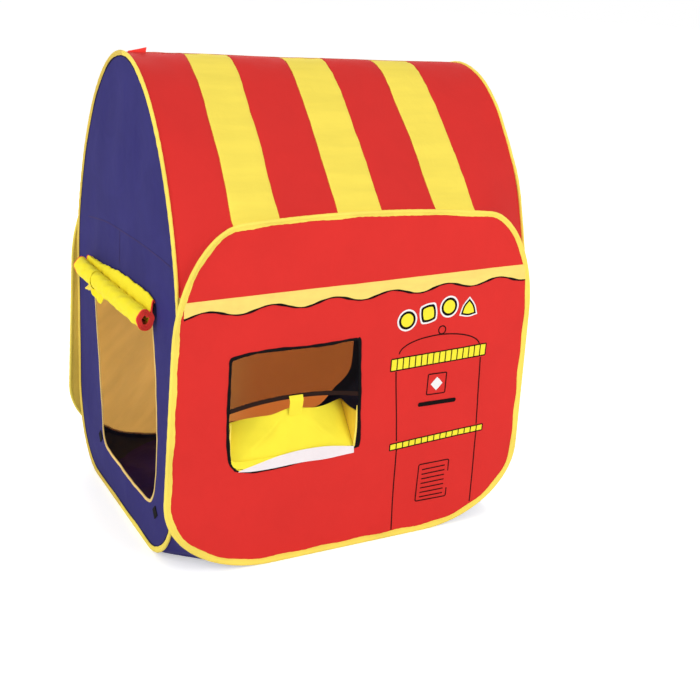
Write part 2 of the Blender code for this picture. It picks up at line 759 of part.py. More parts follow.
def valance(place, parent):
    """The yellow band with a wavy lower edge that crosses the front panel."""
    reach = across_on(FRONT_WIRE_LINE, VALANCE_HEAD) - SLEEVE_WIDTH
    steps = round(2 * reach / VALANCE_PERIOD * VALANCE_STEPS_A_WAVE)
    mean = VALANCE_HEAD - VALANCE_DEPTH
    loop = []
    for step in range(steps + 1):
        across = -reach + 2 * reach * step / steps
        phase = 2 * math.pi * (across - VALANCE_FIRST_CREST) / VALANCE_PERIOD
        loop.append((across, mean + VALANCE_WAVE * math.cos(phase)))
    loop += [(reach, VALANCE_HEAD), (-reach, VALANCE_HEAD)]
    low = CLOTH / 2 + SEAM_GAP
    piece("valance", prism(loop, low, low + TRIM, place), "pale_yellow_cloth", parent)


def build():
    clear_scene()
    root = pivot("front_frame", (0.0, 0.0, 0.0))
    left_end = pivot("left_end_pivot", (-END_X, -FOLD_Y, 0.0), root)
    right_end = pivot("right_end_pivot", (END_X, -FOLD_Y, 0.0), root)
    back_frame = pivot("back_frame_pivot", (-END_X, FOLD_Y, 0.0), left_end)
    flap_y = -PANEL_Y + CLOTH + SEAM_GAP
    flap_z = WINDOW_FOOT + SEAM_GAP
    flap_pivot = pivot("hatch_pivot", ((WINDOW_LEFT + WINDOW_RIGHT) / 2, flap_y, flap_z), root)
    seam_out = CLOTH / 2 + SEAM_GAP + ROLL_CLOTH / 2
    roll_pivot = pivot("rolled_door_pivot", (-END_X - seam_out, 0.0, ROLL_SEAM_Z), left_end)

    front_place = on_panel(-PANEL_Y)
    left_place = on_end(-END_X)
    front_panel = hooped_panel("front", FRONT_WIRE_LINE, front_place, "red_cloth", root)
    left_panel = hooped_panel("left", END_WIRE_LINE, left_place, "blue_cloth", left_end)
    hooped_panel("right", END_WIRE_LINE, on_end(END_X), "blue_cloth", right_end)
    hooped_panel("back", FRONT_WIRE_LINE, on_panel(PANEL_Y), "yellow_cloth", back_frame)

    window(front_panel, front_place, root)
    hatch(front_place, flap_pivot, root)
    valance(front_place, root)
    door_opening(left_panel, left_place, left_end)
    corner_patches(left_place, left_end)
    rolled_door(roll_pivot)
    roll_tie(lambda out, height, y: Vector((-END_X - out, TIE_Y + y, height)), roll_pivot)
    ridge_loop(left_end)

    roof_half("front", -1, root)
    roof_half("back", 1, back_frame)
    floor_sheet(root)
    for depth_name, side_y, parent in (("front", -1, root), ("back", 1, back_frame)):
        for side_name, side_x in (("left", -1), ("right", 1)):
            corner_gore(f"{depth_name}_{side_name}_gore", side_x, side_y, parent)


build()
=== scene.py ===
"""Looks of the pop-up play tent: cloth panels, sleeves, roof stripes, net, hatch, rolled door and prints.

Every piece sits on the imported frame. Lengths are in metres, in the frame's own axes: x to the right as
seen from the front, y to the back, z up.
"""
import math
import random

import bmesh
import bpy
import numpy as np
from mathutils import Matrix, Vector
from mathutils.geometry import delaunay_2d_cdt


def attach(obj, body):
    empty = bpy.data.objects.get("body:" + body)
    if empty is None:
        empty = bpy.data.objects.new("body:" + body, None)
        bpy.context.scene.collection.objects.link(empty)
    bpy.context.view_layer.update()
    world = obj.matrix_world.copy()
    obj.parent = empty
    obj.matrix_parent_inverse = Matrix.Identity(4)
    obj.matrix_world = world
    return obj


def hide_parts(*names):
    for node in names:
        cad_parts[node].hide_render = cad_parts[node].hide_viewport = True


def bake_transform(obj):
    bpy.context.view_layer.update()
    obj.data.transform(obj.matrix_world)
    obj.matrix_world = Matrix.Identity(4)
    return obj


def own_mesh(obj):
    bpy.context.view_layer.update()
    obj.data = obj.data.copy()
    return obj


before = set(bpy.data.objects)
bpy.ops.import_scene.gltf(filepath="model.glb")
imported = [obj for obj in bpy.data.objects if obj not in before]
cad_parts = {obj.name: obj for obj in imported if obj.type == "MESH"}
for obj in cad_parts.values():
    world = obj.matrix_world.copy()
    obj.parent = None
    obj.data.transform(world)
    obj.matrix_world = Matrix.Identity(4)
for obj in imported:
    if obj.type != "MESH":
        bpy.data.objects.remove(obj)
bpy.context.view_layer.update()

# Sizes that the frame was built with
END_SPACING = 0.814
END_DEPTH = 0.683
END_HEIGHT = 1.020
END_SHOULDER = 0.530
END_CORNER_REACH = 0.156
END_CORNER_RISE = 0.204
ARCH_RISE_POWER = 1.55
ARCH_SPAN_POWER = 1.95
FRONT_FOOT_WIDTH = 0.880
FRONT_TOP_WIDTH = 0.832
FRONT_HEIGHT = 0.727
FRONT_CROWN = 0.028
FRONT_TOP_REACH = 0.138
FRONT_TOP_DROP = 0.221
FRONT_FOOT_REACH = 0.249
FRONT_FOOT_RISE = 0.183
SLEEVE_RADIUS = 0.0040
SEAM_GAP = 0.0003
NARROW_STRIPE = 0.102
STRIPE_COUNT = 7
RIDGE_ROUNDING = 0.080
ROOF_EASE = 0.060
WINDOW_LEFT = -0.300
WINDOW_RIGHT = -0.005
WINDOW_FOOT = 0.243
WINDOW_BORDER = 0.007
HATCH_HEAD = 0.363
HATCH_HEAD_RISE = 0.014
VALANCE_HEAD = 0.607
VALANCE_DEPTH = 0.028
VALANCE_WAVE = 0.0065
VALANCE_PERIOD = 0.136
VALANCE_FIRST_CREST = -0.354

# Places that follow from them
END_X = END_SPACING / 2
FOLD_Y = END_DEPTH / 2 - SLEEVE_RADIUS
PANEL_Y = FOLD_Y + 2 * SLEEVE_RADIUS + SEAM_GAP
CLEAR = SLEEVE_RADIUS + SEAM_GAP
INNER_X = END_X - CLEAR
INNER_Y = PANEL_Y - CLEAR
RIDGE_HEIGHT = END_HEIGHT - SLEEVE_RADIUS
FLAT_DEPTH = END_DEPTH / 2 - END_CORNER_REACH
FLAT_REACH = FRONT_FOOT_WIDTH / 2 - FRONT_FOOT_REACH
WIDE_STRIPE = (END_SPACING - NARROW_STRIPE * (STRIPE_COUNT // 2)) / (STRIPE_COUNT // 2 + 1)
HATCH_X = (WINDOW_LEFT + WINDOW_RIGHT) / 2
HATCH_OPEN_HALF = (WINDOW_RIGHT - WINDOW_LEFT) / 2 - WINDOW_BORDER
HATCH_HALF = HATCH_OPEN_HALF + 0.003
HATCH_Y = -PANEL_Y + 0.0019
HATCH_Z = WINDOW_FOOT + SEAM_GAP
TAB_Y = -PANEL_Y - 0.0014

# Cloth as it is seen: thinner than the solids
SKIN = 0.0007
TAPE = 0.0009
TAPE_WIDTH = 0.0062
TAPE_REACH = TAPE_WIDTH * 0.6
SEW = 0.0016
ON_CLOTH = SKIN / 2 + 0.0001
PRINT = SKIN / 2 + 0.0003
INK = 0.0001
INK_LINE = 0.0013
FRONT_SLEEVE = 0.0150
END_SLEEVE = 0.0122
SLEEVE_NECK = 0.0045
SLEEVE_STEPS = [(0.0, 0.8), (0.0012, 1.1), (0.0026, 0.75), (0.0038, 1.1)]
SHARP_DEG = 50.0
NET_PITCH = 0.0019
NET_THREAD = 0.0002
PANEL_TUCK = 0.004
PANEL_STEP = 0.010
FLOOR_STEP = 0.016
FLAT_EDGE = 0.015
EDGE_FADE = 0.07
PATCH_RADIUS = 0.0155
FLAP_LENGTH = 0.108
FLAP_LEAN_DEG = 3.0
FLAP_ENDS_LEAN_DEG = 38.0
GUSSET_PLEAT = 0.0014

# The rolled door: where it ends, how it is wound, and its seam
ROLL_FRONT = -0.225
ROLL_BACK = 0.223
SEAM_FRONT = -0.213
SEAM_BACK = 0.203
ROLL_RADIUS = 0.0232
ROLL_HOLLOW = 0.0095
ROLL_PITCH = 0.0034
ROLL_CLOTH = 0.0018
ROLL_OVAL = 0.77
ROLL_TILT = 0.0075
ROLL_CENTRE = (0.0260, 0.525)
ROLL_SEAM_Z = 0.564

# Folds in the cloth: from, to, width, rise
FRONT_FOLDS = [((-0.38, 0.60), (-0.29, 0.47), 0.012, 0.0014), ((-0.31, 0.25), (-0.36, 0.09), 0.014, 0.0013),
               ((0.00, 0.25), (0.05, 0.06), 0.012, 0.0012), ((-0.01, 0.48), (0.05, 0.56), 0.010, 0.0010)]
BACK_FOLDS = [((-0.36, 0.20), (-0.20, 0.27), 0.014, 0.0040), ((-0.30, 0.02), (-0.22, 0.24), 0.012, 0.0034),
              ((-0.25, 0.02), (-0.20, 0.16), 0.010, 0.0030), ((0.30, 0.60), (-0.05, 0.12), 0.020, 0.0030)]

# Outlines drawn on the panels, as (across, height)
DOORWAY = [(-0.190, 0.550), (-0.213, 0.420), (-0.229, 0.270), (-0.222, 0.170), (-0.200, 0.124),
           (-0.165, 0.106), (-0.060, 0.102), (0.070, 0.103), (0.125, 0.113), (0.148, 0.150), (0.168, 0.270),
           (0.197, 0.443), (0.204, 0.531)]
WINDOW_EDGE = [(-0.285, 0.2300), (-0.2425, 0.2195), (-0.200, 0.2192), (-0.130, 0.2255), (-0.050, 0.2330),
               (-0.005, 0.2390), (0.0043, 0.2500), (0.002, 0.310), (-0.001, 0.371), (-0.010, 0.478),
               (-0.018, 0.4885), (-0.033, 0.4893), (-0.107, 0.4852), (-0.2255, 0.4860), (-0.290, 0.4785),
               (-0.304, 0.4710), (-0.305, 0.450), (-0.306, 0.395), (-0.306, 0.314), (-0.299, 0.252)]
STRIP_FOOT = [(-0.276, 0.2270), (-0.2425, 0.2235), (-0.200, 0.2232), (-0.130, 0.2262), (-0.0775, 0.2250),
              (-0.0095, 0.2292)]
STRIP_HEAD = [(-0.276, 0.2290), (-0.229, 0.2400), (-0.182, 0.2496), (-0.135, 0.2541), (-0.0795, 0.2539),
              (-0.0110, 0.2450)]
SILL_FOOT = [(-0.2955, 0.2560), (-0.288, 0.2410), (-0.274, 0.2300), (-0.2425, 0.2240), (-0.180, 0.2240)]
SILL_HEAD = [(-0.2960, 0.2600), (-0.288, 0.2530), (-0.270, 0.2500), (-0.230, 0.2490), (-0.180, 0.2500)]
END_SEAM = [(0.250, 0.628), (0.120, 0.646), (0.020, 0.650), (-0.114, 0.654), (-0.300, 0.651)]


# Camera, at the photograph's place
def aim_camera():
    place = Vector((-1.0879, -2.1363, 1.1863))
    yaw = 0.5313
    pitch = -0.3347
    roll = 0.0745
    focal_px = 1066.76
    frame_px = 700.0
    forward = Vector((math.sin(yaw) * math.cos(pitch), math.cos(yaw) * math.cos(pitch), math.sin(pitch)))
    level = Vector((math.cos(yaw), -math.sin(yaw), 0.0))
    above = level.cross(forward)
    right = math.cos(roll) * level + math.sin(roll) * above
    up = -math.sin(roll) * level + math.cos(roll) * above
    data = bpy.data.cameras.new("photo_camera")
    data.sensor_width = 36.0
    data.lens = focal_px / frame_px * data.sensor_width
    data.clip_end = 100.0
    camera = bpy.data.objects.new("photo_camera", data)
    bpy.context.scene.collection.objects.link(camera)
    turn = Matrix((right, up, -forward)).transposed().to_4x4()
    camera.matrix_world = Matrix.Translation(place) @ turn
    bpy.context.scene.camera = camera


# Materials
def fill(tree, made, inputs):
    """Sets a node's inputs, by name or number: a socket is linked, and anything else is the value."""
    for name, value in inputs.items():
        if isinstance(value, bpy.types.NodeSocket):
            tree.links.new(value, made.inputs[name])
        else:
            made.inputs[name].default_value = value


def node(tree, kind, inputs=None, **settings):
    made = tree.nodes.new(kind)
    for name, value in settings.items():
        setattr(made, name, value)
    fill(tree, made, inputs or {})
    return made


def new_material(name):
    made = bpy.data.materials.new(name)
    made.use_nodes = True
    return made, made.node_tree, made.node_tree.nodes["Principled BSDF"]


def ramp(tree, noise, low, high, start=0.0, stop=1.0):
    """A colour that goes from low to high with a noise."""
    made = node(tree, "ShaderNodeValToRGB", {"Fac": noise.outputs["Fac"]})
    for element, place, colour in zip(made.color_ramp.elements, (start, stop), (low, high)):
        element.position = place
        element.color = (*colour, 1.0)
    return made.outputs["Color"]


def turned(tree, place, colour, shade_beyond):
    """A colour that gives way to another from left to right, used for painted shade."""
    parts = node(tree, "ShaderNodeSeparateXYZ", {0: place})
    share = node(tree, "ShaderNodeMapRange",
                 {"Value": parts.outputs["X"], "From Min": -0.15, "From Max": 0.10},
                 interpolation_type="SMOOTHSTEP")
    mixed = node(tree, "ShaderNodeMix", {0: share.outputs["Result"], 6: colour, 7: (*shade_beyond, 1.0)},
                 data_type="RGBA")
    return mixed.outputs[2]


def cloth(name, colour, shade=0.88, streak=(9, 9, 9), crease=0.5, through=0.0, gloss=0.12, shade_beyond=None,
          slant=0.0):
    """Woven cloth: a fine over-and-under weave, soft creases and a slow change of shade.

    through is the share of light that passes on to the other side. A colour that the cloth turns to towards
    the right is painted shade. slant turns the streaks away from the upright.
    """
    made, tree, shader = new_material(name)
    place = node(tree, "ShaderNodeTexCoord").outputs["Object"]
    scale = [1 / number for number in streak]
    stretch = node(tree, "ShaderNodeMapping",
                   {"Vector": place, "Scale": scale, "Rotation": (0.0, slant, 0.0)}, vector_type="TEXTURE")
    slow = node(tree, "ShaderNodeTexNoise",
                {"Vector": stretch.outputs["Vector"], "Scale": 1.0, "Detail": 3.0, "Roughness": 0.55})
    base = ramp(tree, slow, [channel * shade for channel in colour], colour, 0.35, 0.62)
    # Painted shade towards the right.
    if shade_beyond:
        base = turned(tree, place, base, shade_beyond)
    threads = [node(tree, "ShaderNodeTexWave", {"Vector": place, "Scale": 320.0, "Distortion": 0.4},
                    bands_direction=direction).outputs["Fac"] for direction in ("X", "Z")]
    woven = node(tree, "ShaderNodeMath", {0: threads[0], 1: threads[1]}, operation="MULTIPLY").outputs[0]
    tint = node(tree, "ShaderNodeMix", {0: 0.08, 6: base, 7: woven}, data_type="RGBA",
                blend_type="MULTIPLY").outputs[2]
    folds = node(tree, "ShaderNodeTexNoise",
                 {"Vector": place, "Scale": 14.0, "Detail": 3.0, "Roughness": 0.5, "Distortion": 0.8})
    creased = node(tree, "ShaderNodeBump",
                   {"Strength": crease, "Distance": 0.004, "Height": folds.outputs["Fac"]})
    weave = node(tree, "ShaderNodeBump", {"Strength": 0.25, "Distance": 0.0002, "Height": woven,
                                          "Normal": creased.outputs["Normal"]})
    fill(tree, shader, {"Base Color": tint, "Normal": weave.outputs["Normal"], "Roughness": 0.75,
                        "Sheen Weight": 0.02, "Specular IOR Level": gloss})
    if through > 0:
        passed = node(tree, "ShaderNodeBsdfTranslucent", {"Color": tint})
        both = node(tree, "ShaderNodeMixShader", {0: through, 1: shader.outputs[0], 2: passed.outputs[0]})
        fill(tree, tree.nodes["Material Output"], {"Surface": both.outputs[0]})
    return made


def steel(name):
    made, tree, shader = new_material(name)
    place = node(tree, "ShaderNodeTexCoord").outputs["Object"]
    drawn = node(tree, "ShaderNodeTexNoise", {"Vector": place, "Scale": 120.0, "Detail": 3.0})
    colour = ramp(tree, drawn, (0.36, 0.37, 0.39), (0.50, 0.51, 0.53))
    fill(tree, shader, {"Metallic": 1.0, "Roughness": 0.34, "Base Color": colour})
    return made


RED = cloth("red_cloth", (0.715, 0.029, 0.024), shade=0.96, crease=0.35)
# The front's red made darker on the roof, where more light falls: painted shade.
ROOF_RED_SHADED = cloth("roof_red_shaded_cloth", (0.645, 0.026, 0.022), shade=0.96, crease=0.35)
RED_BACK = cloth("red_cloth_back", (0.75, 0.06, 0.04), through=0.5)
YELLOW = cloth("yellow_cloth", (0.98, 0.79, 0.105), shade=0.93, streak=(4, 26, 26), through=0.08)
YELLOW_BACK = cloth("yellow_cloth_back", (0.95, 0.66, 0.18), through=0.5)
BACK_YELLOW = cloth("back_yellow", (0.97, 0.76, 0.20), shade=0.97, crease=0.2, through=0.60)
# The back panel's inside: its slanted streaks are painted shade of folds, and it turns darker and redder
# towards the right as painted shade.
BACK_INSIDE_SHADE = cloth("back_inside_shade", (1.0, 0.73, 0.60), shade=0.83, streak=(15, 9, 4), slant=0.75, through=0.60,
                    shade_beyond=(0.92, 0.34, 0.22))
# A shaded copy of the pale sleeve yellow: painted shade on the left sleeve's back half and the back's left
# edge.
SHADED_GOLD = cloth("shaded_gold_cloth", (0.80, 0.58, 0.10), shade=0.85)
PALE = cloth("pale_yellow_cloth", (0.98, 0.78, 0.125), shade=0.90)
BINDING = cloth("door_binding", (0.93, 0.66, 0.22), shade=0.85)
VALANCE_YELLOW = cloth("valance_yellow", (0.97, 0.73, 0.18), shade=0.93, streak=(14, 14, 60))
BLUE = cloth("blue_cloth", (0.033, 0.028, 0.160), shade=0.90, crease=0.3, gloss=0.05)
# The blue cloth's reverse, darkened to grey-blue as painted shade; also painted shade inside the back sleeve
# and round the back panel's right foot.
BLUE_BACK_SHADE = cloth("blue_cloth_back_shade", (0.040, 0.042, 0.080), shade=0.8)
NAVY = cloth("navy_cloth", (0.055, 0.025, 0.190), shade=0.7, crease=1.0)
BLACK = cloth("black_cloth", (0.009, 0.008, 0.009), shade=0.7, gloss=0.02)
NET = cloth("black_net", (0.009, 0.007, 0.007), shade=0.7, gloss=0.02)
FLAP_YELLOW = cloth("flap_yellow", (1.0, 0.86, 0.050), shade=0.94, crease=0.3)
ROLL_YELLOW = cloth("roll_yellow", (1.0, 0.84, 0.025), shade=0.94, streak=(20, 6, 20), crease=0.6)
# The flap's yellow cloth tinted orange: painted shade on the hatch's sides.
GUSSET_SHADED = cloth("gusset_shaded_cloth", (0.98, 0.66, 0.050), shade=0.85, crease=0.4)
BAND = cloth("net_band_cloth", (0.030, 0.015, 0.012), shade=0.75, gloss=0.02)
RED_EDGE = cloth("red_edge", (1.0, 0.060, 0.045), shade=0.95, crease=0.1)
SEAM_ORANGE = cloth("seam_orange", (0.66, 0.16, 0.022), shade=0.85)
# The seams are real; their darker purple is painted shade along their ridges.
SEAM_PURPLE_SHADE = cloth("seam_purple_shade", (0.034, 0.020, 0.115), shade=0.85)
# Painted shade where the end cloth meets its sleeve.
SEAM_SHADE = cloth("seam_shade", (0.016, 0.012, 0.040), shade=0.7, gloss=0.02)
WHITE = cloth("white_cloth", (0.90, 0.84, 0.86), shade=0.96)
INK_BLACK = cloth("ink_black", (0.009, 0.007, 0.007), shade=0.8, crease=0.1, gloss=0.02)
INK_YELLOW = cloth("ink_yellow", (0.95, 0.84, 0.04), shade=0.96, crease=0.1)
INK_WHITE = cloth("ink_white", (0.90, 0.88, 0.87), shade=0.97, crease=0.1)
STEEL = steel("spring_steel")


# Curves
def smooth_step(value):
    value = np.clip(value, 0.0, 1.0)
    return value * value * (3 - 2 * value)


def left_of(along):
    """Unit vectors to the left of directions in the plane."""
    return np.c_[-along[:, 1], along[:, 0]] / np.linalg.norm(along, axis=1)[:, None]


def run_along(line):
    """The length of a line from its start to each of its points."""
    return np.r_[0.0, np.cumsum(np.linalg.norm(np.diff(line, axis=0), axis=1))]


def even_points(line, count, with_last=True):
    """Points at even steps along a line, up to its last point or one step short of it."""
    run = run_along(line)
    places = np.linspace(0.0, run[-1], count, endpoint=with_last)
    return np.stack([np.interp(places, run, line[:, axis]) for axis in (0, 1)], axis=1)


def smoothed(points, count):
    """A smooth curve through a few points, by Catmull and Rom's rule."""
    points = np.asarray(points, float)
    padded = np.vstack([2 * points[0] - points[1], points, 2 * points[-1] - points[-2]])
    made = []
    for place in np.linspace(0, len(points) - 1, count):
        here = min(int(place), len(points) - 2)
        t = place - here
        a, b, c, d = padded[here:here + 4]
        made.append(0.5 * (2 * b + (c - a) * t + (2 * a - 5 * b + 4 * c - d) * t ** 2
                           + (3 * b - a - 3 * c + d) * t ** 3))
    return np.array(made)


def straight(start, stop, step=0.006):
    count = max(2, int(math.dist(start, stop) / step) + 1)
    return np.linspace(start, stop, count)


def arc(centre, reach, rise, start_deg, stop_deg, steps):
    angles = np.radians(np.linspace(start_deg, stop_deg, steps + 1))
    return np.c_[centre[0] + reach * np.cos(angles), centre[1] + rise * np.sin(angles)]


def inward(loop):
    """Unit normals of a counterclockwise closed loop, pointing into it."""
    return left_of(np.roll(loop, -1, axis=0) - np.roll(loop, 1, axis=0))


def inset(loop, distance):
    return loop + inward(loop) * distance


def resampled(loop, count):
    """Points at even steps round a closed loop."""
    return even_points(np.vstack([loop, loop[:1]]), count, with_last=False)


# Outlines of the hoops, as counterclockwise loops of (across, height), smooth and dense
def mirrored(half):
    left = half[::-1] * (-1.0, 1.0)
    return np.vstack([half, left[left[:, 0] < 0]])


def end_outline():
    corner = (END_DEPTH / 2 - END_CORNER_REACH, END_CORNER_RISE)
    height = END_SHOULDER + (END_HEIGHT - END_SHOULDER) * np.sin(np.linspace(0, math.pi / 2, 60))
    rise = np.clip((height - END_SHOULDER) / (END_HEIGHT - END_SHOULDER), 0.0, 1.0)
    depth = END_DEPTH / 2 * (1.0 - rise ** ARCH_RISE_POWER) ** (1.0 / ARCH_SPAN_POWER)
    return mirrored(np.vstack([
        [(0.0, 0.0)],
        arc(corner, END_CORNER_REACH, END_CORNER_RISE, -90, 0, 24),
        np.c_[depth, height],
    ]))


def front_outline():
    half_width = FRONT_FOOT_WIDTH / 2
    foot = (half_width - FRONT_FOOT_REACH, FRONT_FOOT_RISE)
    top = (half_width - FRONT_TOP_REACH, FRONT_HEIGHT - FRONT_TOP_DROP)
    across, height = np.vstack([
        [(0.0, 0.0)],
        arc(foot, FRONT_FOOT_REACH, FRONT_FOOT_RISE, -90, 0, 24),
        arc(top, FRONT_TOP_REACH, FRONT_TOP_DROP, 0, 90, 24),
        np.c_[np.linspace(top[0], 0.0, 9)[1:], np.full(8, FRONT_HEIGHT)],
    ]).T
    taper = 1.0 + (FRONT_TOP_WIDTH / FRONT_FOOT_WIDTH - 1.0) * height / FRONT_HEIGHT
    crown = FRONT_CROWN * height / FRONT_HEIGHT * (1.0 - (across / half_width) ** 2)
    return mirrored(np.c_[across * taper, height + crown])


def upper_side(loop):
    """The loop's upper side, sorted across, for reading heights."""
    side = loop[loop[:, 1] > 0.45]
    return side[np.argsort(side[:, 0])]


def right_side(loop):
    """The loop's right side, sorted upwards, for reading half widths."""
    side = loop[loop[:, 0] > 0]
    return side[np.argsort(side[:, 1])]


def reach_at(side, height):
    return np.interp(height, side[:, 1], side[:, 0])


def arch_wire_height(depth):
    share = np.minimum(1.0, np.abs(depth) / FOLD_Y)
    rise = (1.0 - share ** ARCH_SPAN_POWER) ** (1.0 / ARCH_RISE_POWER)
    return END_SHOULDER + (RIDGE_HEIGHT - END_SHOULDER) * rise


def front_hoop_height(across):
    return np.interp(across, FRONT_TOP[:, 0], FRONT_TOP[:, 1])


def window_outline(count):
    """The window's edge, a little out of square and bowed as sewn cloth is."""
    closed = np.vstack([WINDOW_EDGE, WINDOW_EDGE[:1]])
    return resampled(smoothed(closed, 220)[:-1], count)


END_WIRE = inset(resampled(end_outline(), 420), SLEEVE_RADIUS)
FRONT_WIRE = inset(resampled(front_outline(), 420), SLEEVE_RADIUS)
FRONT_SIDE = right_side(FRONT_WIRE)
END_SIDE = right_side(END_WIRE)
FRONT_TOP = upper_side(FRONT_WIRE)
COARSE_FRONT = FRONT_WIRE[::6]
COARSE_END = END_WIRE[::6]
DOOR_LOOP = smoothed(DOORWAY, 150)


# Slow unevenness of cloth, as a sum of waves
class Waves:
    """A smooth height over the plane, from waves in drawn directions."""

    def __init__(self, seed, wavelength, count=9):
        draw = random.Random(seed)
        self.parts = []
        for _ in range(count):
            angle = draw.uniform(0.0, math.pi)
            number = 2 * math.pi / (wavelength * draw.uniform(0.7, 1.6))
            self.parts.append((number * math.cos(angle), number * math.sin(angle),
                               draw.uniform(0.0, 2 * math.pi), draw.uniform(0.4, 1.0)))
        self.total = math.sqrt(sum(part[3] ** 2 for part in self.parts))

    def __call__(self, across, height):
        value = 0.0
        for first, second, phase, size in self.parts:
            value = value + size * np.sin(first * across + second * height + phase)
        return value / self.total


FRONT_SLOW = Waves(3, 0.21)
FRONT_FINE = Waves(4, 0.07)
END_SLOW = Waves(7, 0.24)
END_FINE = Waves(8, 0.08)
FLOOR_SLACK = Waves(31, 0.13)
ROOF_CREASES = Waves(21, 0.16)
ROOF_FINE = Waves(22, 0.055)


def fold_line(across, height, start, stop, width, rise):
    """A soft fold between two points, that dies out at both."""
    along = np.array(stop) - start
    length = np.linalg.norm(along)
    along = along / length
    where = np.stack([across - start[0], height - start[1]], axis=-1)
    share = np.clip(where @ along / length, 0.0, 1.0)
    away = where @ np.array([-along[1], along[0]])
    fade = np.clip(np.sin(np.pi * share), 0.0, 1.0) ** 0.7
    return rise * np.exp(-(away / width) ** 2) * fade


def edge_distance(loop, across, height):
    """Distance of points to a closed loop."""
    points = np.c_[np.ravel(across), np.ravel(height)]
    best = np.full(len(points), np.inf)
    for start, step in zip(loop, np.roll(loop, -1, axis=0) - loop):
        share = np.clip((points - start) @ step / (step @ step), 0.0, 1.0)
        best = np.minimum(best, np.linalg.norm(points - start - share[:, None] * step, axis=1))
    return best.reshape(np.shape(across))


def relief(across, height, hoop, waves, folds=()):
    """How far cloth stands out of its plane. It lies flat near its hoop."""
    value = waves + sum(fold_line(across, height, *line) for line in folds)
    return value * smooth_step((edge_distance(hoop, across, height) - FLAT_EDGE) / EDGE_FADE)


# Placing (across, height, out) on each side
def on_front(across, height, out):
    waves = 0.0011 * FRONT_SLOW(across, height) + 0.0003 * FRONT_FINE(across, height)
    out = out + relief(across, height, COARSE_FRONT, waves, FRONT_FOLDS)
    return np.stack([across, -PANEL_Y - out, height + 0.0 * across], axis=-1)


def on_back(across, height, out):
    waves = 0.0013 * FRONT_SLOW(across + 0.7, height) + 0.0004 * FRONT_FINE(across + 0.5, height)
    out = out + relief(across, height, COARSE_FRONT, waves, BACK_FOLDS)
    return np.stack([across, PANEL_Y + out, height + 0.0 * across], axis=-1)


def on_end(across, height, out, side, shift):
    shifted = across + shift
    waves = 0.0011 * END_SLOW(shifted, height) + 0.0003 * END_FINE(shifted, height)
    out = out + relief(shifted, height, COARSE_END, waves)
    return np.stack([side * (END_X + out), across, height + 0.0 * across], axis=-1)


def on_left(across, height, out):
    return on_end(across, height, out, -1, 0.0)


def on_right(across, height, out):
    return on_end(across, height, out, 1, 0.3)


# Solids, as (verts, faces, kind of each face)
def grid_faces(rows, columns, closed=False):
    faces = []
    for row in range(rows - 1):
        for column in range(columns if closed else columns - 1):
            right = (column + 1) % columns
            faces.append((row * columns + column, row * columns + right,
                          (row + 1) * columns + right, (row + 1) * columns + column))
    return faces


def shell(outer, inner, faces):
    """A closed thin solid from two matching surfaces. The inner one's faces are of kind 1."""
    outer = outer.reshape(-1, 3)
    inner = inner.reshape(-1, 3)
    count = len(outer)
    edges = dict.fromkeys(edge for face in faces for edge in zip(face, face[1:] + face[:1]))
    rim = [(here, there) for here, there in edges if (there, here) not in edges]
    all_faces = list(faces)
    all_faces += [tuple(count + point for point in reversed(face)) for face in faces]
    all_faces += [(there, here, here + count, there + count) for here, there in rim]
    kinds = [0] * len(faces) + [1] * len(faces) + [0] * len(rim)
    return np.vstack([outer, inner]), all_faces, kinds


def grid_shell(grid, inside):
    """A thin shell over a grid of points, rows x columns x 3, thickened towards a point inside the tent."""
    normals = np.cross(np.gradient(grid, axis=1), np.gradient(grid, axis=0))
    normals /= np.maximum(np.linalg.norm(normals, axis=2), 1e-9)[..., None]
    if ((np.asarray(inside) - grid) * normals).sum(2).mean() < 0:
        normals = -normals
    return shell(grid, grid + normals * SKIN, grid_faces(*grid.shape[:2]))


def swept(rings, closed):
    """A solid from the lines that a ring's points draw along a path. It is a loop or has two ends."""
    grid = np.stack(rings, axis=1)
    count, size = grid.shape[:2]
    faces = grid_faces(count, size, closed=True)
    last = (count - 1) * size
    if closed:
        faces += [(last + c, last + (c + 1) % size, (c + 1) % size, c) for c in range(size)]
    else:
        faces += [tuple(reversed(range(size))), tuple(last + c for c in range(size))]
    return grid.reshape(-1, 3), faces, [0] * len(faces)


def strip(line, half_widths, place, low, high, closed=False):
    """A flat strip along a line on a panel, between two distances from its plane."""
    normal = inward(line) if closed else left_of(np.gradient(line, axis=0))
    wide = normal * np.broadcast_to(half_widths, (len(line),))[:, None]
    corners = ((1, low), (-1, low), (-1, high), (1, high))
    return swept([place(*(line + side * wide).T, level) for side, level in corners], closed)


def patch(outline, place, low, high):
    """A thin flat solid inside a star-shaped outline."""
    rings = 3
    centre = outline.mean(axis=0)
    count = len(outline)
    flat = np.vstack([centre] + [centre + (outline - centre) * ring / rings for ring in range(1, rings + 1)])
    faces = []
    for here in range(count):
        there = (here + 1) % count
        faces.append((0, 1 + here, 1 + there))
        for base in range(1, 1 + (rings - 1) * count, count):
            faces.append((base + here, base + count + here, base + count + there, base + there))
    return shell(place(*flat.T, high), place(*flat.T, low), faces)


def folded_tape(line, half, centre, thickness, axis, columns=9):
    """A tape that follows a line in the plane across an axis (0 for x, 1 for y)."""
    normal = left_of(np.gradient(line, axis=0))
    half = np.broadcast_to(half, (len(line),))[:, None]
    centre = np.broadcast_to(centre, (len(line),))[:, None]
    wide = centre + half * np.linspace(-1, 1, columns)[None, :]
    surfaces = []
    for level in (thickness / 2, -thickness / 2):
        points = line + normal * level
        order = [np.repeat(points[:, :1], columns, axis=1), np.repeat(points[:, 1:], columns, axis=1)]
        order.insert(axis, wide)
        surfaces.append(np.stack(order, axis=-1))
    return shell(*surfaces, grid_faces(len(line), columns))


def joined(solids):
    """Several closed solids as one."""
    faces = []
    start = 0
    for verts, own_faces, _ in solids:
        faces += [tuple(start + point for point in face) for face in own_faces]
        start += len(verts)
    return np.vstack([solid[0] for solid in solids]), faces, [0] * len(faces)


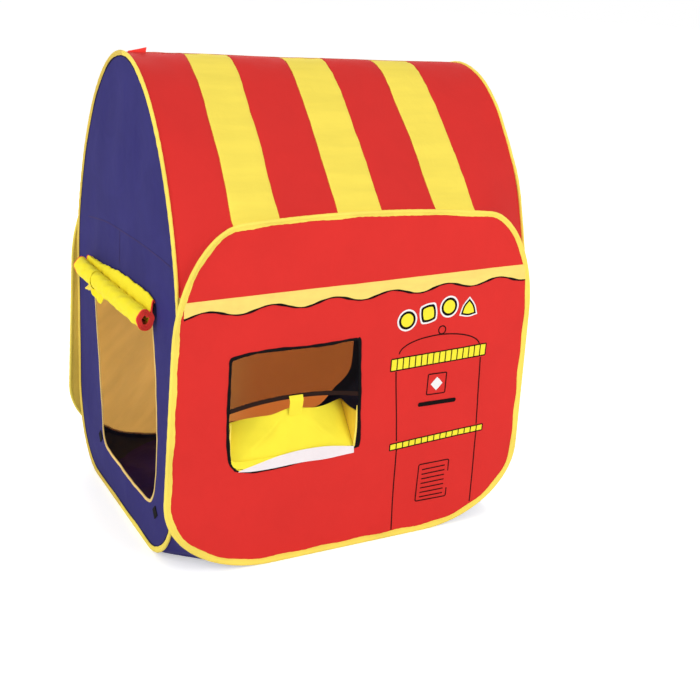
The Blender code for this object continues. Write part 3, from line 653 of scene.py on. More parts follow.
def piece(name, solid, body, materials):
    """A shown piece of the tent, in the frame's own axes. One given no body is not attached to any."""
    verts, faces, kinds = solid
    mesh = bpy.data.meshes.new(name)
    mesh.from_pydata([tuple(vert) for vert in verts], [], faces)
    for material in materials:
        mesh.materials.append(material)
    if len(materials) > 1:
        mesh.polygons.foreach_set("material_index", kinds)
    bm = bmesh.new()
    bm.from_mesh(mesh)
    bmesh.ops.recalc_face_normals(bm, faces=bm.faces)
    bm.to_mesh(mesh)
    bm.free()
    mesh.shade_smooth()
    mesh.set_sharp_from_angle(angle=math.radians(SHARP_DEG))
    made = bpy.data.objects.new(name, mesh)
    bpy.context.scene.collection.objects.link(made)
    if body:
        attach(made, body)
    return made


def front_piece(name, solid, material):
    return piece(name, solid, "front_frame", [material])


def fold(made):
    """Gives cloth on the front or back frame its own copy of its mesh."""
    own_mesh(made)


def hatch_fold(made):
    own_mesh(made)


def within(loop, points):
    """Whether each of some points lies inside a loop."""
    start = loop[None]
    stop = np.roll(loop, -1, axis=0)[None]
    across = points[:, None, 0]
    height = points[:, None, 1]
    crosses = (start[..., 1] > height) != (stop[..., 1] > height)
    rise = np.where(crosses, stop[..., 1] - start[..., 1], 1.0)
    where = start[..., 0] + (height - start[..., 1]) / rise * (stop[..., 0] - start[..., 0])
    return (crosses & (where > across)).sum(axis=1) % 2 == 1


def flat_mesh(outline, holes, step):
    """Triangles over a flat outline with holes, even inside, as (points, faces)."""
    loops = [outline, *holes]
    edges = []
    for loop in loops:
        start = len(edges)
        edges += [(start + here, start + (here + 1) % len(loop)) for here in range(len(loop))]
    low = outline.min(axis=0)
    high = outline.max(axis=0)
    row_step = step * math.sqrt(3) / 2
    rows = []
    for row in range(1, int((high[1] - low[1]) / row_step)):
        line = np.arange(low[0] + row % 2 * step / 2, high[0], step)
        rows.append(np.c_[line, np.full(len(line), low[1] + row * row_step)])
    grid = np.vstack(rows)
    far = np.min([edge_distance(loop[::max(1, len(loop) // 120)], *grid.T) for loop in loops], axis=0)
    points = np.vstack([*loops, grid[far > step * 0.45]])
    found = delaunay_2d_cdt([Vector(point) for point in points], edges, [], 0, 1e-7)
    flat = np.array([tuple(point) for point in found[0]])
    faces = np.array([tuple(face) for face in found[2]])
    middles = flat[faces].mean(axis=1)
    kept = within(outline, middles)
    for hole in holes:
        kept &= ~within(hole, middles)
    used, faces = np.unique(faces[kept], return_inverse=True)
    return flat[used], [tuple(map(int, face)) for face in faces.reshape(-1, 3)]


def panel(name, wire_loop, holes, place, body, front_material, back_material):
    """A flat panel of cloth, held in its sleeve all round."""
    outline = inset(resampled(wire_loop, 300), PANEL_TUCK)
    points, faces = flat_mesh(outline, holes, PANEL_STEP)
    solid = shell(place(*points.T, SKIN / 2), place(*points.T, -SKIN / 2), faces)
    made = piece(name + "_cloth", solid, body, [front_material, back_material])
    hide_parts(name + "_panel")


# Sleeves
def sleeve_tip(path, wide):
    """How far a sleeve's legs reach in from the wire: less near the top."""
    return wide - SLEEVE_RADIUS - 0.0025 * smooth_step((path[:, 1] - 0.40) / 0.25)


def sleeve(name, wire_loop, place, body, seed, wide):
    """The sleeve: a bead of gathered cloth round the wire, and two legs that hold the panel's edge.

    Its section is a ring of (inwards, out, kind): kind 0 is the neck, 1 a leg, 2 the bead, 3 the bore.
    """
    step = 0.0055
    count = int(np.linalg.norm(np.roll(wire_loop, -1, axis=0) - wire_loop, axis=1).sum() / step)
    path = resampled(wire_loop, count)
    normals = inward(path)
    angle = 2 * math.pi * np.arange(count) / count
    draw = random.Random(seed)
    turns = [draw.randint(60, 190) for _ in range(7)]
    phases = [draw.uniform(0, 2 * math.pi) for _ in range(14)]
    pucker = sum(np.sin(turn * angle + phase) for turn, phase in zip(turns, phases)) / 3.0
    slow = sum(np.sin(turn // 6 * angle + phase) for turn, phase in zip(turns, phases[7:])) / 3.0
    leg_in = SKIN / 2 + 0.0002
    leg_out = 0.0016
    tip = sleeve_tip(path, wide)
    inner = SLEEVE_NECK + (tip - SLEEVE_NECK) * 0.35
    bead = SLEEVE_RADIUS - 0.0002
    bore = 0.0022
    bore_neck = 0.0032
    section = [(tip, leg_in, 1)]
    section += [(tip - back, leg_out * share, 1) for back, share in SLEEVE_STEPS]
    section.append((SLEEVE_NECK, leg_out * 1.05, 0))
    section += [(bead * math.cos(turn), bead * math.sin(turn), 2)
                for turn in np.radians(np.linspace(38, 322, 9))]
    section.append((SLEEVE_NECK, -leg_out * 1.05, 0))
    first_inside = len(section) - 1
    section += [(inner - 0.35 * back, -leg_out * share, 1) for back, share in reversed(SLEEVE_STEPS)]
    section += [(inner, -leg_in, 1), (bore_neck, -leg_in, 0)]
    last_inside = len(section) - 1
    section += [(bore * math.cos(turn), bore * math.sin(turn), 3)
                for turn in np.radians(np.linspace(310, 50, 5))]
    section.append((bore_neck, leg_in, 0))
    rings = []
    for inwards, out, kind in section:
        if kind == 1:
            inwards = inwards + 0.0010 * slow + 0.0004 * pucker
        if kind == 2:
            inwards = inwards * (1 + 0.05 * pucker)
            out = out * (1 + 0.07 * pucker)
        elif kind < 2 and abs(out) > leg_in:
            out = out * (1 + 0.16 * pucker)
        flat = path + normals * np.broadcast_to(inwards, (count,))[:, None]
        rings.append(place(*flat.T, out))
    verts, faces, kinds = swept(rings, True)
    size = len(section)
    for number, face in enumerate(faces):
        across = path[min(face) // size, 0]
        places = [point % size for point in face]
        # Inside the back sleeve: gold at its left end and dark blue-grey elsewhere, both painted shade.
        if name == "back" and max(places) <= last_inside:
            if across > -0.38 and min(places) >= first_inside - 6:
                kinds[number] = 2
            elif across <= -0.38 and min(places) >= first_inside:
                kinds[number] = 1
        # The left sleeve's back half is gold: painted shade.
        elif name == "left" and across > 0.0:
            kinds[number] = 1
    made = piece(name + "_sleeve_cloth", (verts, faces, kinds), body,
                 [PALE, SHADED_GOLD, BLUE_BACK_SHADE])
    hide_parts(name + "_sleeve")
    stitches(name, path, normals, tip - 0.0026, leg_out * 0.78, place, body)


def stitches(name, path, normals, inwards, out, place, body):
    """A row of machine stitches along the sleeve's outer leg, each a small block."""
    line = path + normals * inwards[:, None]
    step = (np.roll(line, -1, axis=0) - line) * 0.62
    wide = normals * 0.00025
    corners = [line - wide, line + step - wide, line + step + wide, line + wide]
    rings = [place(*flat.T, out + rise) for rise in (-0.0001, 0.0003) for flat in corners]
    verts = np.stack(rings, axis=1).reshape(-1, 3)
    block = [(3, 2, 1, 0), (4, 5, 6, 7), (0, 1, 5, 4), (1, 2, 6, 5), (2, 3, 7, 6), (3, 0, 4, 7)]
    faces = [tuple(base + point for point in face) for base in range(0, len(verts), 8) for face in block]
    piece(name + "_sleeve_stitches", (verts, faces, None), body, [PALE])


def end_edge_shade(name, place, body):
    """A dark strip where an end's cloth meets its sleeve: painted shade along the sleeve's inner edge."""
    path = resampled(END_WIRE, 260)
    line = path + inward(path) * (sleeve_tip(path, END_SLEEVE) + 0.0012)[:, None]
    solid = strip(line, 0.0017, place, ON_CLOTH, ON_CLOTH + 0.0005, True)
    piece(name + "_end_seam", solid, body, [SEAM_SHADE])


def back_shade_facings():
    """Sheets of painted shade inside the back panel: a shaded gold one at its left edge, and a dark blue-grey
    one round its right foot.
    """
    for name, side, foot, head, slot, material in (
            ("left", -1, 0.085, 0.64, "pale_yellow_cloth", SHADED_GOLD),
            ("right", 1, 0.012, 0.62, "navy_cloth", BLUE_BACK_SHADE)):
        path = FRONT_SIDE[(FRONT_SIDE[:, 1] > foot) & (FRONT_SIDE[:, 1] < head)]
        share = np.linspace(0, 1, 70)
        path = even_points(path, len(share))
        normal = left_of(np.gradient(path, axis=0))
        if side > 0:
            width = 0.030 + 0.012 * smooth_step((path[:, 1] - 0.08) / 0.08)
            width *= smooth_step(share / 0.15) * smooth_step((1 - share) / 0.15)
        else:
            width = 0.026 * smooth_step(share / 0.05) * smooth_step((1 - share) / 0.20)
        inner = path + normal * (0.0075 + width)[:, None]
        outer = path + normal * 0.0050
        if side > 0:
            outer[:, 0] = np.minimum(outer[:, 0], INNER_X)
            inner[:, 0] = np.minimum(inner[:, 0], INNER_X - 0.0005)
        flat = np.linspace(outer, inner, 6, axis=1)
        grid = on_back(side * flat[..., 0], flat[..., 1], -0.0016)
        solid = grid_shell(grid, (0.0, -0.5, 0.3))
        fold(piece(f"back_facing_{name}", solid, "back_frame", [material]))


# Roof
def taut_height(across, depth):
    full = math.hypot(INNER_Y, RIDGE_ROUNDING) - RIDGE_ROUNDING
    fall = np.hypot(depth, RIDGE_ROUNDING) - RIDGE_ROUNDING
    return RIDGE_HEIGHT - (RIDGE_HEIGHT - front_hoop_height(across)) * fall / full


def roof_height(across, depth):
    edge = taut_height(np.full(np.shape(across), INNER_X), depth)
    arch = np.maximum(front_hoop_height(INNER_X), arch_wire_height(depth))
    pull = np.exp(-(INNER_X - np.abs(across)) / ROOF_EASE)
    return taut_height(across, depth) + pull * (arch - edge)


def stripe_edge(edge, side, depth):
    """Where a roof seam runs: the front ones stray a little sideways and lean towards the left end."""
    spread = edge * WIDE_STRIPE - END_X + (edge // 2) * (NARROW_STRIPE - WIDE_STRIPE)
    if edge in (0, STRIPE_COUNT):
        return np.full(depth.shape, math.copysign(INNER_X + SEW, spread))
    wander = 0.0007 * np.sin(depth * 47 + edge * 2.1) + 0.0003 * np.sin(depth * 131 + edge * 1.3)
    at_ridge = 0.004 * (edge - 1)
    at_sleeve = min(0.032, 0.018 + 0.006 * edge) if side < 0 else 0.0
    return spread + wander - at_ridge - (at_sleeve - at_ridge) * depth / INNER_Y


def roof_half(name, side, body):
    seam_share = 0.0011 / NARROW_STRIPE
    share = np.r_[0.0, np.linspace(seam_share, 1 - seam_share, 17), 1.0]
    depth_share = np.sin(np.linspace(0.0, math.pi / 2, 46)) ** 1.15
    depth = SEAM_GAP + (INNER_Y + SEW - SEAM_GAP) * depth_share[::-1]
    depths = np.repeat(depth[:, None], len(share), axis=1)
    for stripe in range(STRIPE_COUNT):
        left = stripe_edge(stripe, side, depth)
        right = stripe_edge(stripe + 1, side, depth)
        across = left[:, None] + (right - left)[:, None] * share[None, :]
        height = roof_height(np.clip(across, -INNER_X, INNER_X), np.minimum(depths, INNER_Y))
        to_edge = np.minimum(across - left[:, None], right[:, None] - across)
        fade = smooth_step((INNER_Y - depths) / 0.05) * smooth_step((INNER_X - np.abs(across)) / 0.04)
        ruffle = 0.0006 * (np.sin(depths * 310 + stripe * 1.7) + np.sin(depths * 170 + stripe * 3.1))
        uneven = 0.0016 * ROOF_CREASES(across * 0.5, side * depths)
        uneven += 0.0004 * ROOF_FINE(across, side * depths)
        uneven += ruffle * np.exp(-to_edge / 0.010) - 0.0012 * np.exp(-to_edge / 0.0016)
        grid = np.stack([across, side * depths, height + uneven * fade], axis=-1)
        verts, faces, kinds = grid_shell(grid, (0.0, 0.0, 0.4))
        red = stripe % 2 == 0
        # The roof's red is darker than the front's red as painted shade.
        materials = [ROOF_RED_SHADED, RED_BACK] if red else [YELLOW, YELLOW_BACK, SEAM_ORANGE]
        last = len(share) - 2
        for number in range((len(depth) - 1) * (last + 1)):
            if not red and number % (last + 1) in (0, last):
                kinds[number] = 2
        made = piece(f"{name}_roof_cloth_{stripe + 1}", (verts, faces, kinds), body, materials)
        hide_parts(f"{name}_stripe_{stripe + 1}")
        fold(made)


def ridge_seam():
    across = np.linspace(-INNER_X + 0.004, INNER_X - 0.004, 160)
    crest = roof_height(across, np.zeros(160)) + 0.0016 * ROOF_CREASES(across * 0.5, 0 * across)
    corners = [(-0.0013, 0.0), (0.0003, 0.0), (0.0003, 0.0007), (-0.0013, 0.0007)]
    rings = [np.stack([across, np.full(160, depth), crest + rise], axis=-1) for depth, rise in corners]
    fold(front_piece("ridge_seam", swept(rings, False), SEAM_ORANGE))


# Lower corners and floor
def corner_gore(name, side_x, side_y, body):
    """The cloth that closes a lower corner between the arch's curve and the panel's curve."""
    top = END_CORNER_RISE - SLEEVE_RADIUS
    height = top * np.linspace(0.0, 1.0, 26)[:, None] ** 1.7
    share = np.linspace(0.0, 1.0, 22)[None, :]
    arch_depth = np.maximum(FLAT_DEPTH, reach_at(END_SIDE, height + SLEEVE_RADIUS))
    reach = np.clip(reach_at(FRONT_SIDE, height + SLEEVE_RADIUS), FLAT_REACH, INNER_X)
    across = INNER_X + SEW + (reach - INNER_X - SEW) * share
    depth = arch_depth + (INNER_Y + SEW - arch_depth) * share
    heights = height + 0.0022 * np.abs(2 * share - 1) ** 8
    span = np.hypot(across[:, :1] - across[:, -1:], depth[:, :1] - depth[:, -1:])
    bow = 0.05 * span * np.sin(math.pi * share) * np.sin(math.pi * (height / top) ** 0.6)
    wrinkle = 0.02 * span * np.sin(math.pi * share) * np.sin(heights * 160 + across * 60)
    out = (bow + wrinkle) / math.sqrt(2)
    grid = np.stack([side_x * (across - out), side_y * (depth - out), heights], axis=-1)
    # Its inside is the dark grey-blue of painted shade.
    made = piece(name + "_cloth", grid_shell(grid, (0.0, 0.0, 0.5)), body, [BLUE, BLUE_BACK_SHADE])
    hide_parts(name)
    fold(made)


def floor_cloth():
    """The ground sheet, a little loose between the sleeves."""
    reach = INNER_X + SEW
    depth = INNER_Y + SEW
    foot = SLEEVE_RADIUS + 0.0012
    quarter = np.array([(reach, reach_at(END_SIDE, foot)), (reach_at(FRONT_SIDE, foot), depth)])
    loop = np.vstack([quarter, quarter[::-1] * (-1, 1), -quarter, quarter[::-1] * (1, -1)])
    outline = resampled(loop, 180)
    outline[np.linalg.norm(outline[:, None] - loop[None], axis=2).argmin(axis=0)] = loop
    points, faces = flat_mesh(outline, [], FLOOR_STEP)
    far = edge_distance(loop, *points.T)
    lift = 0.0035 * np.maximum(0.0, 0.4 + FLOOR_SLACK(*points.T)) * smooth_step(far / 0.05)
    solid = shell(np.c_[points, 0.0009 + lift + SKIN], np.c_[points, 0.0002 + lift], faces)
    made = front_piece("floor_cloth", solid, NAVY)
    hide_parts("floor_sheet")
    fold(made)


# Prints on the front
def polygon(centre, radius, corners, turn_deg, rounding):
    """A regular polygon with soft corners."""
    angles = np.linspace(0, 2 * math.pi, 36, endpoint=False)
    sector = 2 * math.pi / corners
    local = (angles + math.radians(turn_deg)) % sector - sector / 2
    edge = math.cos(sector / 2) / np.cos(local)
    reach = radius * (edge * (1 - rounding) + rounding * math.cos(sector / 4))
    return np.c_[centre[0] + reach * np.cos(angles), centre[1] + reach * np.sin(angles)]


def rounded_rectangle(left, right, foot, head, corner):
    centres = [(left + corner, foot + corner), (right - corner, foot + corner),
               (right - corner, head - corner), (left + corner, head - corner)]
    return np.vstack([arc(centre, corner, corner, start, start + 90, 6)
                      for centre, start in zip(centres, (180, 270, 0, 90))])


def printed(shape, level):
    return patch(shape, on_front, PRINT + level * INK, PRINT + (level + 1) * INK)


def band_print(left, right, foot, head, cells):
    """A ribbed band: yellow cells between black lines. It rises a little to the right."""
    lean = 0.05

    def at(across, height):
        return (across, height + lean * (across - (left + right) / 2))

    ribs = left + (right - left) / cells * np.arange(cells + 1)
    lines = [straight(at(left, level), at(right, level)) for level in (foot, head)]
    lines += [straight(at(across, foot), at(across, head)) for across in ribs]
    fills = [np.array([at(low, foot), at(high, foot), at(high, head), at(low, head)])
             for low, high in zip(ribs, ribs[1:])]
    return lines, fills


def letter_box_print():
    """A plain pillar box in outline, with two ribbed bands, a slot, a sign and a notice."""
    upper_lines, upper_fills = band_print(0.068, 0.312, 0.410, 0.437, 16)
    lower_lines, lower_fills = band_print(0.082, 0.330, 0.224, 0.239, 15)
    lines = upper_lines + lower_lines
    lines.append(arc((0.190, 0.440), 0.104, 0.036, 178, 2, 30))
    lines.append(arc((0.190, 0.486), 0.009, 0.009, 0, 360, 20))
    for ends in (((0.082, 0.402), (0.098, 0.238)), ((0.100, 0.220), (0.106, 0.017)),
                 ((0.300, 0.412), (0.312, 0.248)), ((0.314, 0.230), (0.318, 0.050))):
        lines.append(straight(*ends))
    notice = rounded_rectangle(0.164, 0.246, 0.078, 0.170, 0.004)
    lines.append(np.vstack([notice, notice[:1]]))
    for row in range(7):
        height = 0.156 - row * 0.0115
        lines.append(straight((0.174, height), (0.236, height + 0.001)))
    sign_edge = rounded_rectangle(0.166, 0.214, 0.338, 0.386, 0.003)
    lines.append(np.vstack([sign_edge, sign_edge[:1]]))
    black = [strip(line, INK_LINE, on_front, PRINT + 2 * INK, PRINT + 3 * INK) for line in lines]
    black.append(printed(rounded_rectangle(0.146, 0.246, 0.3120, 0.3220, 0.0048), 2))
    front_piece("letter_box_lines", joined(black), INK_BLACK)
    yellow = [printed(fill_shape, 0) for fill_shape in upper_fills + lower_fills]
    front_piece("letter_box_bands", joined(yellow), INK_YELLOW)
    sign = printed(polygon((0.190, 0.362), 0.0155, 4, 0.0, 0.1), 0)
    front_piece("letter_box_sign", sign, INK_WHITE)


def badge_prints():
    """Four plain shapes in a row over the letter box, as (centre, corners, turn)."""
    badges = [((0.098, 0.516), 24, 0.0), ((0.150, 0.527), 4, 35.0), ((0.203, 0.537), 24, 0.0),
              ((0.255, 0.528), 3, 30.0)]
    layers = [("white", 0.0245, INK_WHITE), ("black", 0.0205, INK_BLACK), ("yellow", 0.0150, INK_YELLOW)]
    for level, (name, radius, material) in enumerate(layers):
        shapes = [polygon(centre, radius * (1.18 if corners < 6 else 1.0), corners, turn, 0.35)
                  for centre, corners, turn in badges]
        solid = joined([printed(shape, level) for shape in shapes])
        front_piece("badges_" + name, solid, material)


def valance():
    """The wavy band across the front, and the black line along its foot."""
    reach = float(reach_at(FRONT_SIDE, VALANCE_HEAD)) - 0.002
    across = np.linspace(-reach, reach, 200)
    phase = 2 * math.pi * (across - VALANCE_FIRST_CREST) / VALANCE_PERIOD
    head = VALANCE_HEAD + 0.030 * across
    foot = head - VALANCE_DEPTH + VALANCE_WAVE * np.cos(phase)
    share = np.linspace(0.0, 1.0, 6)[:, None]
    height = foot + (head - foot) * share
    flat = across + 0.0 * share
    ripple = 0.0005 * np.sin(flat * 210) * np.sin(math.pi * share)
    outer = on_front(flat, height, PRINT + 0.0004 + ripple)
    solid = shell(outer, on_front(flat, height, PRINT - 0.0001), grid_faces(*flat.shape))
    made = front_piece("valance_cloth", solid, VALANCE_YELLOW)
    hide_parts("valance")
    wobble = 0.0017 * (1 + 0.35 * np.sin(across * 90) + 0.2 * np.sin(across * 211))
    edge = strip(np.c_[across, foot - 0.0014], wobble, on_front, PRINT - 0.0001, PRINT + 0.0007)
    front_piece("valance_edge", edge, INK_BLACK)


# Window: border, net, band and hatch
def hatch_head(across):
    return HATCH_HEAD + HATCH_HEAD_RISE * (1.0 - ((across - HATCH_X) / HATCH_OPEN_HALF) ** 2)


def crossings(loop, at, axis):
    """Where a closed loop crosses a line of one coordinate, in order of the other."""
    value = loop[:, axis] - at
    other = loop[:, 1 - axis]
    here = np.flatnonzero(value * np.roll(value, -1) < 0)
    share = value[here] / (value[here] - np.roll(value, -1)[here])
    return np.sort(other[here] + share * (np.roll(other, -1)[here] - other[here]))


def net(hole):
    """The net's crossing threads, from the hatch's head up."""
    low = hole.min(axis=0)
    high = hole.max(axis=0) - NET_PITCH / 2
    threads = []
    for across in np.arange(low[0] + NET_PITCH, high[0], NET_PITCH):
        top = crossings(hole, across, 0)[-1]
        foot = max(crossings(hole, across, 0)[0], float(hatch_head(across)) - 0.002)
        if top - foot > NET_PITCH:
            threads.append((straight((across, foot), (across, top), 0.03), -0.0009))
    for height in np.arange(HATCH_HEAD, high[1], NET_PITCH):
        ends = crossings(hole, height, 1)
        line = np.linspace(ends[0], ends[-1], 60)
        above = hatch_head(line) - 0.003 < height
        for part in np.split(line, np.flatnonzero(np.diff(above.astype(int))) + 1):
            if len(part) > 2 and hatch_head(part.mean()) - 0.003 < height:
                threads.append((straight((part[0], height), (part[-1], height), 0.03), -0.0007))
    return joined([strip(line, NET_THREAD, on_front, out, out + NET_THREAD) for line, out in threads])


def window():
    """The window's black tape, the net and the band along the net's lower edge."""
    loop = window_outline(220)
    number = np.arange(220)
    wobble = TAPE_WIDTH / 2 * (1 + 0.18 * np.sin(number * 0.31) + 0.10 * np.sin(number * 0.83))
    tape = strip(inset(loop, TAPE_WIDTH / 2), wobble, on_front, -0.0004, SKIN / 2 + TAPE, True)
    made = front_piece("window_tape", tape, BLACK)
    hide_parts("window_border")
    hole = inset(loop, TAPE_REACH)
    made = front_piece("window_mesh", net(hole), NET)
    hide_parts("window_net")
    across = np.linspace(hole[:, 0].min() + 0.0005, hole[:, 0].max() - 0.0035, 60)
    band = strip(np.c_[across, hatch_head(across) + 0.0010], 0.0048, on_front, -0.0003, 0.0004)
    made = front_piece("net_band_tape", band, BAND)
    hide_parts("net_band")


def flap_grid(columns, rows, through):
    """The letter flap: its middle is held upright by the tab, and its ends lean in."""
    side = np.linspace(-1.0, 1.0, columns)[None, :]
    along_share = np.linspace(0.0, 1.0, rows)[:, None]
    lean = np.radians(FLAP_LEAN_DEG + FLAP_ENDS_LEAN_DEG * np.abs(side) ** 1.7)
    left = 0.014 * smooth_step(-side / 0.4) + 0.010 * np.minimum(side, 0.0) ** 2
    right = 0.013 * np.sin(math.pi * np.maximum(side, 0.0))
    along = (FLAP_LENGTH - left - right) * along_share
    pull = np.exp(-((side + 0.85 - 0.75 * along_share) / 0.07) ** 2)
    pull += 0.8 * np.exp(-((side - 0.85 + 0.75 * along_share) / 0.08) ** 2)
    pull -= 0.8 * np.exp(-((side + 0.45 - 0.35 * along_share) / 0.12) ** 2)
    puff = 0.0045 * pull * np.sin(math.pi * along_share) + 0.0005 * np.sin(side * 9 + along_share * 7)
    through = through + puff * np.sin(math.pi * along_share * 0.9 + 0.1)
    up = along * np.cos(lean) + through * np.sin(lean)
    back = along * np.sin(lean) - through * np.cos(lean)
    across = HATCH_X + HATCH_HALF * side + 0.0 * along
    return np.stack([across, HATCH_Y + back, HATCH_Z + up], axis=-1)


def hatch():
    """The letter flap, and the tab that holds it to the net's band."""
    solid = grid_shell(flap_grid(61, 25, 0.0003), (HATCH_X, 0.0, 0.0))
    made = piece("flap_cloth", solid, "hatch", [FLAP_YELLOW, YELLOW_BACK])
    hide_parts("hatch_flap")
    hatch_fold(made)
    head = float(hatch_head(HATCH_X))
    root = flap_grid(61, 25, 0.0006)[20, 30]
    line = smoothed([(root[1] - 0.0004, root[2]), (-PANEL_Y - 0.0012, head - 0.012), (TAB_Y, head - 0.004),
                     (TAB_Y, head + 0.003)], 20)
    half = 0.0155 - 0.0015 * np.linspace(1, 0, 20) ** 4
    centre = HATCH_X - 0.003 + np.linspace(0.004, 0, 20)
    tab = folded_tape(line, half, centre, 0.0008, 0)
    made = piece("tab_cloth", tab, "hatch", [FLAP_YELLOW])
    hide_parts("hatch_tab")
    hatch_fold(made)


def gusset(name, side):
    """The slack side of the hatch, from the flap's end to the panel, and its hem on the panel.

    A pleat behind it moves with the flap, so that the two still overlap when the flap is pushed in.
    """
    rows = 18
    edge = flap_grid(3, rows, 0.0003)[:, 0 if side < 0 else 2]
    out = HATCH_X + side * (HATCH_HALF + 0.0004)
    rise = np.linspace(0, 1, rows)[:, None]
    panel_edge = np.c_[np.full(rows, out), np.full(rows, HATCH_Y - 0.0006), HATCH_Z + 0.080 * rise]
    grid = np.linspace(edge, panel_edge, 14, axis=1)
    spread = np.sin(math.pi * np.linspace(0.0, 1.0, 14))[None, :]
    grid[..., 0] = out - side * 0.004 * spread ** 2 * rise * (1 - 0.6 * rise)
    grid[..., 2] -= 0.001 * spread * rise ** 2
    beside = (HATCH_X + side * 0.5, -0.3, 0.3)
    # The sides are tinted orange as painted shade.
    materials = [GUSSET_SHADED, YELLOW_BACK]
    made = piece(f"gusset_{name}_cloth", grid_shell(grid, beside), "front_frame", materials)
    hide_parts(f"hatch_gusset_{name}")
    hatch_fold(made)
    pleat = grid_shell(grid + (side * GUSSET_PLEAT, 0.0, 0.0), beside)
    hatch_fold(piece(f"gusset_{name}_pleat", pleat, "hatch", materials))
    foot = HATCH_Z + (0.014 if side < 0 else 0.0)
    hem = smoothed([(out - side * 0.0015, foot), (out + side * 0.0012, HATCH_Z + 0.045),
                    (out, HATCH_Z + 0.094)], 16)
    solid = strip(hem, 0.0022 - 0.0016 * np.linspace(0, 1, 16) ** 3, on_front, -0.0006, 0.0004)
    front_piece(f"gusset_{name}_hem", solid, PALE)


def sill_strips():
    """The white strip over the sill, and the yellow cloth behind its left end."""
    for name, slot, material, foot, head, out in (
            ("sill_strip_cloth", "white_cloth", WHITE, STRIP_FOOT, STRIP_HEAD, 0.0009),
            ("sill_cloth", "yellow_cloth", FLAP_YELLOW, SILL_FOOT, SILL_HEAD, 0.0001)):
        flat = np.linspace(smoothed(foot, 60), smoothed(head, 60), 5)
        across = flat[..., 0]
        height = flat[..., 1]
        outer = on_front(across, height, ON_CLOTH + out + SKIN)
        solid = shell(outer, on_front(across, height, ON_CLOTH + out), grid_faces(5, 60))
        made = front_piece(name, solid, material)
        if name == "sill_strip_cloth":
            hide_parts("hatch_sill_strip")


# Left end: door binding, patches, rolled door, tie and ridge loop
def door_trims():
    """The binding round the doorway, the two patches at its foot, and the seams above it, whose darker purple
    is painted shade along their ridges.
    """
    run = run_along(DOOR_LOOP)
    normal = left_of(np.gradient(DOOR_LOOP, axis=0))
    pucker = 0.0004 * np.sin(run * 160) + 0.0003 * np.sin(run * 91 + 1)
    wide = 0.0030 + 0.0022 * smooth_step((0.16 - DOOR_LOOP[:, 1]) / 0.05)
    fold_out = ON_CLOTH + 0.0006
    section = [(-0.0012, fold_out, 0), (0, fold_out, 1), (0, ON_CLOTH, 1), (-0.0004, ON_CLOTH, 0),
               (-0.0004, -ON_CLOTH, 0), (0, -ON_CLOTH, 1), (0, -fold_out, 1), (-0.0012, -fold_out, 0)]
    rings = []
    for inwards, out, grown in section:
        flat = DOOR_LOOP - normal * (inwards + grown * wide + pucker * (0.6 + 0.4 * grown))[:, None]
        rings.append(on_left(*flat.T, out))
    made = piece("door_binding_cloth", swept(rings, False), "left_end", [BINDING])
    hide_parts("door_binding")
    for name, centre in (("front", (-0.227, 0.103)), ("back", (0.163, 0.113))):
        square = polygon(centre, PATCH_RADIUS, 4, 0.0, 0.08)
        solid = patch(square, on_left, ON_CLOTH + 0.0001, ON_CLOTH + 0.0016)
        made = piece(f"patch_{name}", solid, "left_end", [BLACK])
        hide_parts(f"door_patch_{name}")
    # The seams' darker purple is painted shade along their ridges.
    lines = [(smoothed(END_SEAM, 60), 0.0016), (straight((0.020, 0.575), (0.020, 0.648)), 0.0014)]
    seams = joined([strip(line, half, on_left, ON_CLOTH, ON_CLOTH + 0.0003) for line, half in lines])
    piece("left_end_seams", seams, "left_end", [SEAM_PURPLE_SHADE])


def roll_line():
    """The rolled door in section, as (out, height): down from its seam, then one long spiral."""
    steps_a_turn = 30
    turns = (ROLL_RADIUS - ROLL_HOLLOW) / ROLL_PITCH
    turn = np.arange(int(turns * steps_a_turn) + 1) / steps_a_turn
    angle = math.radians(38) - 2 * math.pi * turn
    radius = ROLL_RADIUS - ROLL_CLOTH / 2 - ROLL_PITCH * turn
    spiral = np.c_[-ROLL_OVAL * radius * np.cos(angle), radius * np.sin(angle)] + ROLL_CENTRE
    seam = np.array([0.0016, ROLL_SEAM_Z - 0.003])
    lead = smoothed([seam, seam + (0.0026, 0.0050), seam + (0.0062, 0.0010), spiral[0] + (-0.0006, 0.0100),
                     spiral[0]], 20)[:-1]
    return np.vstack([lead, spiral])


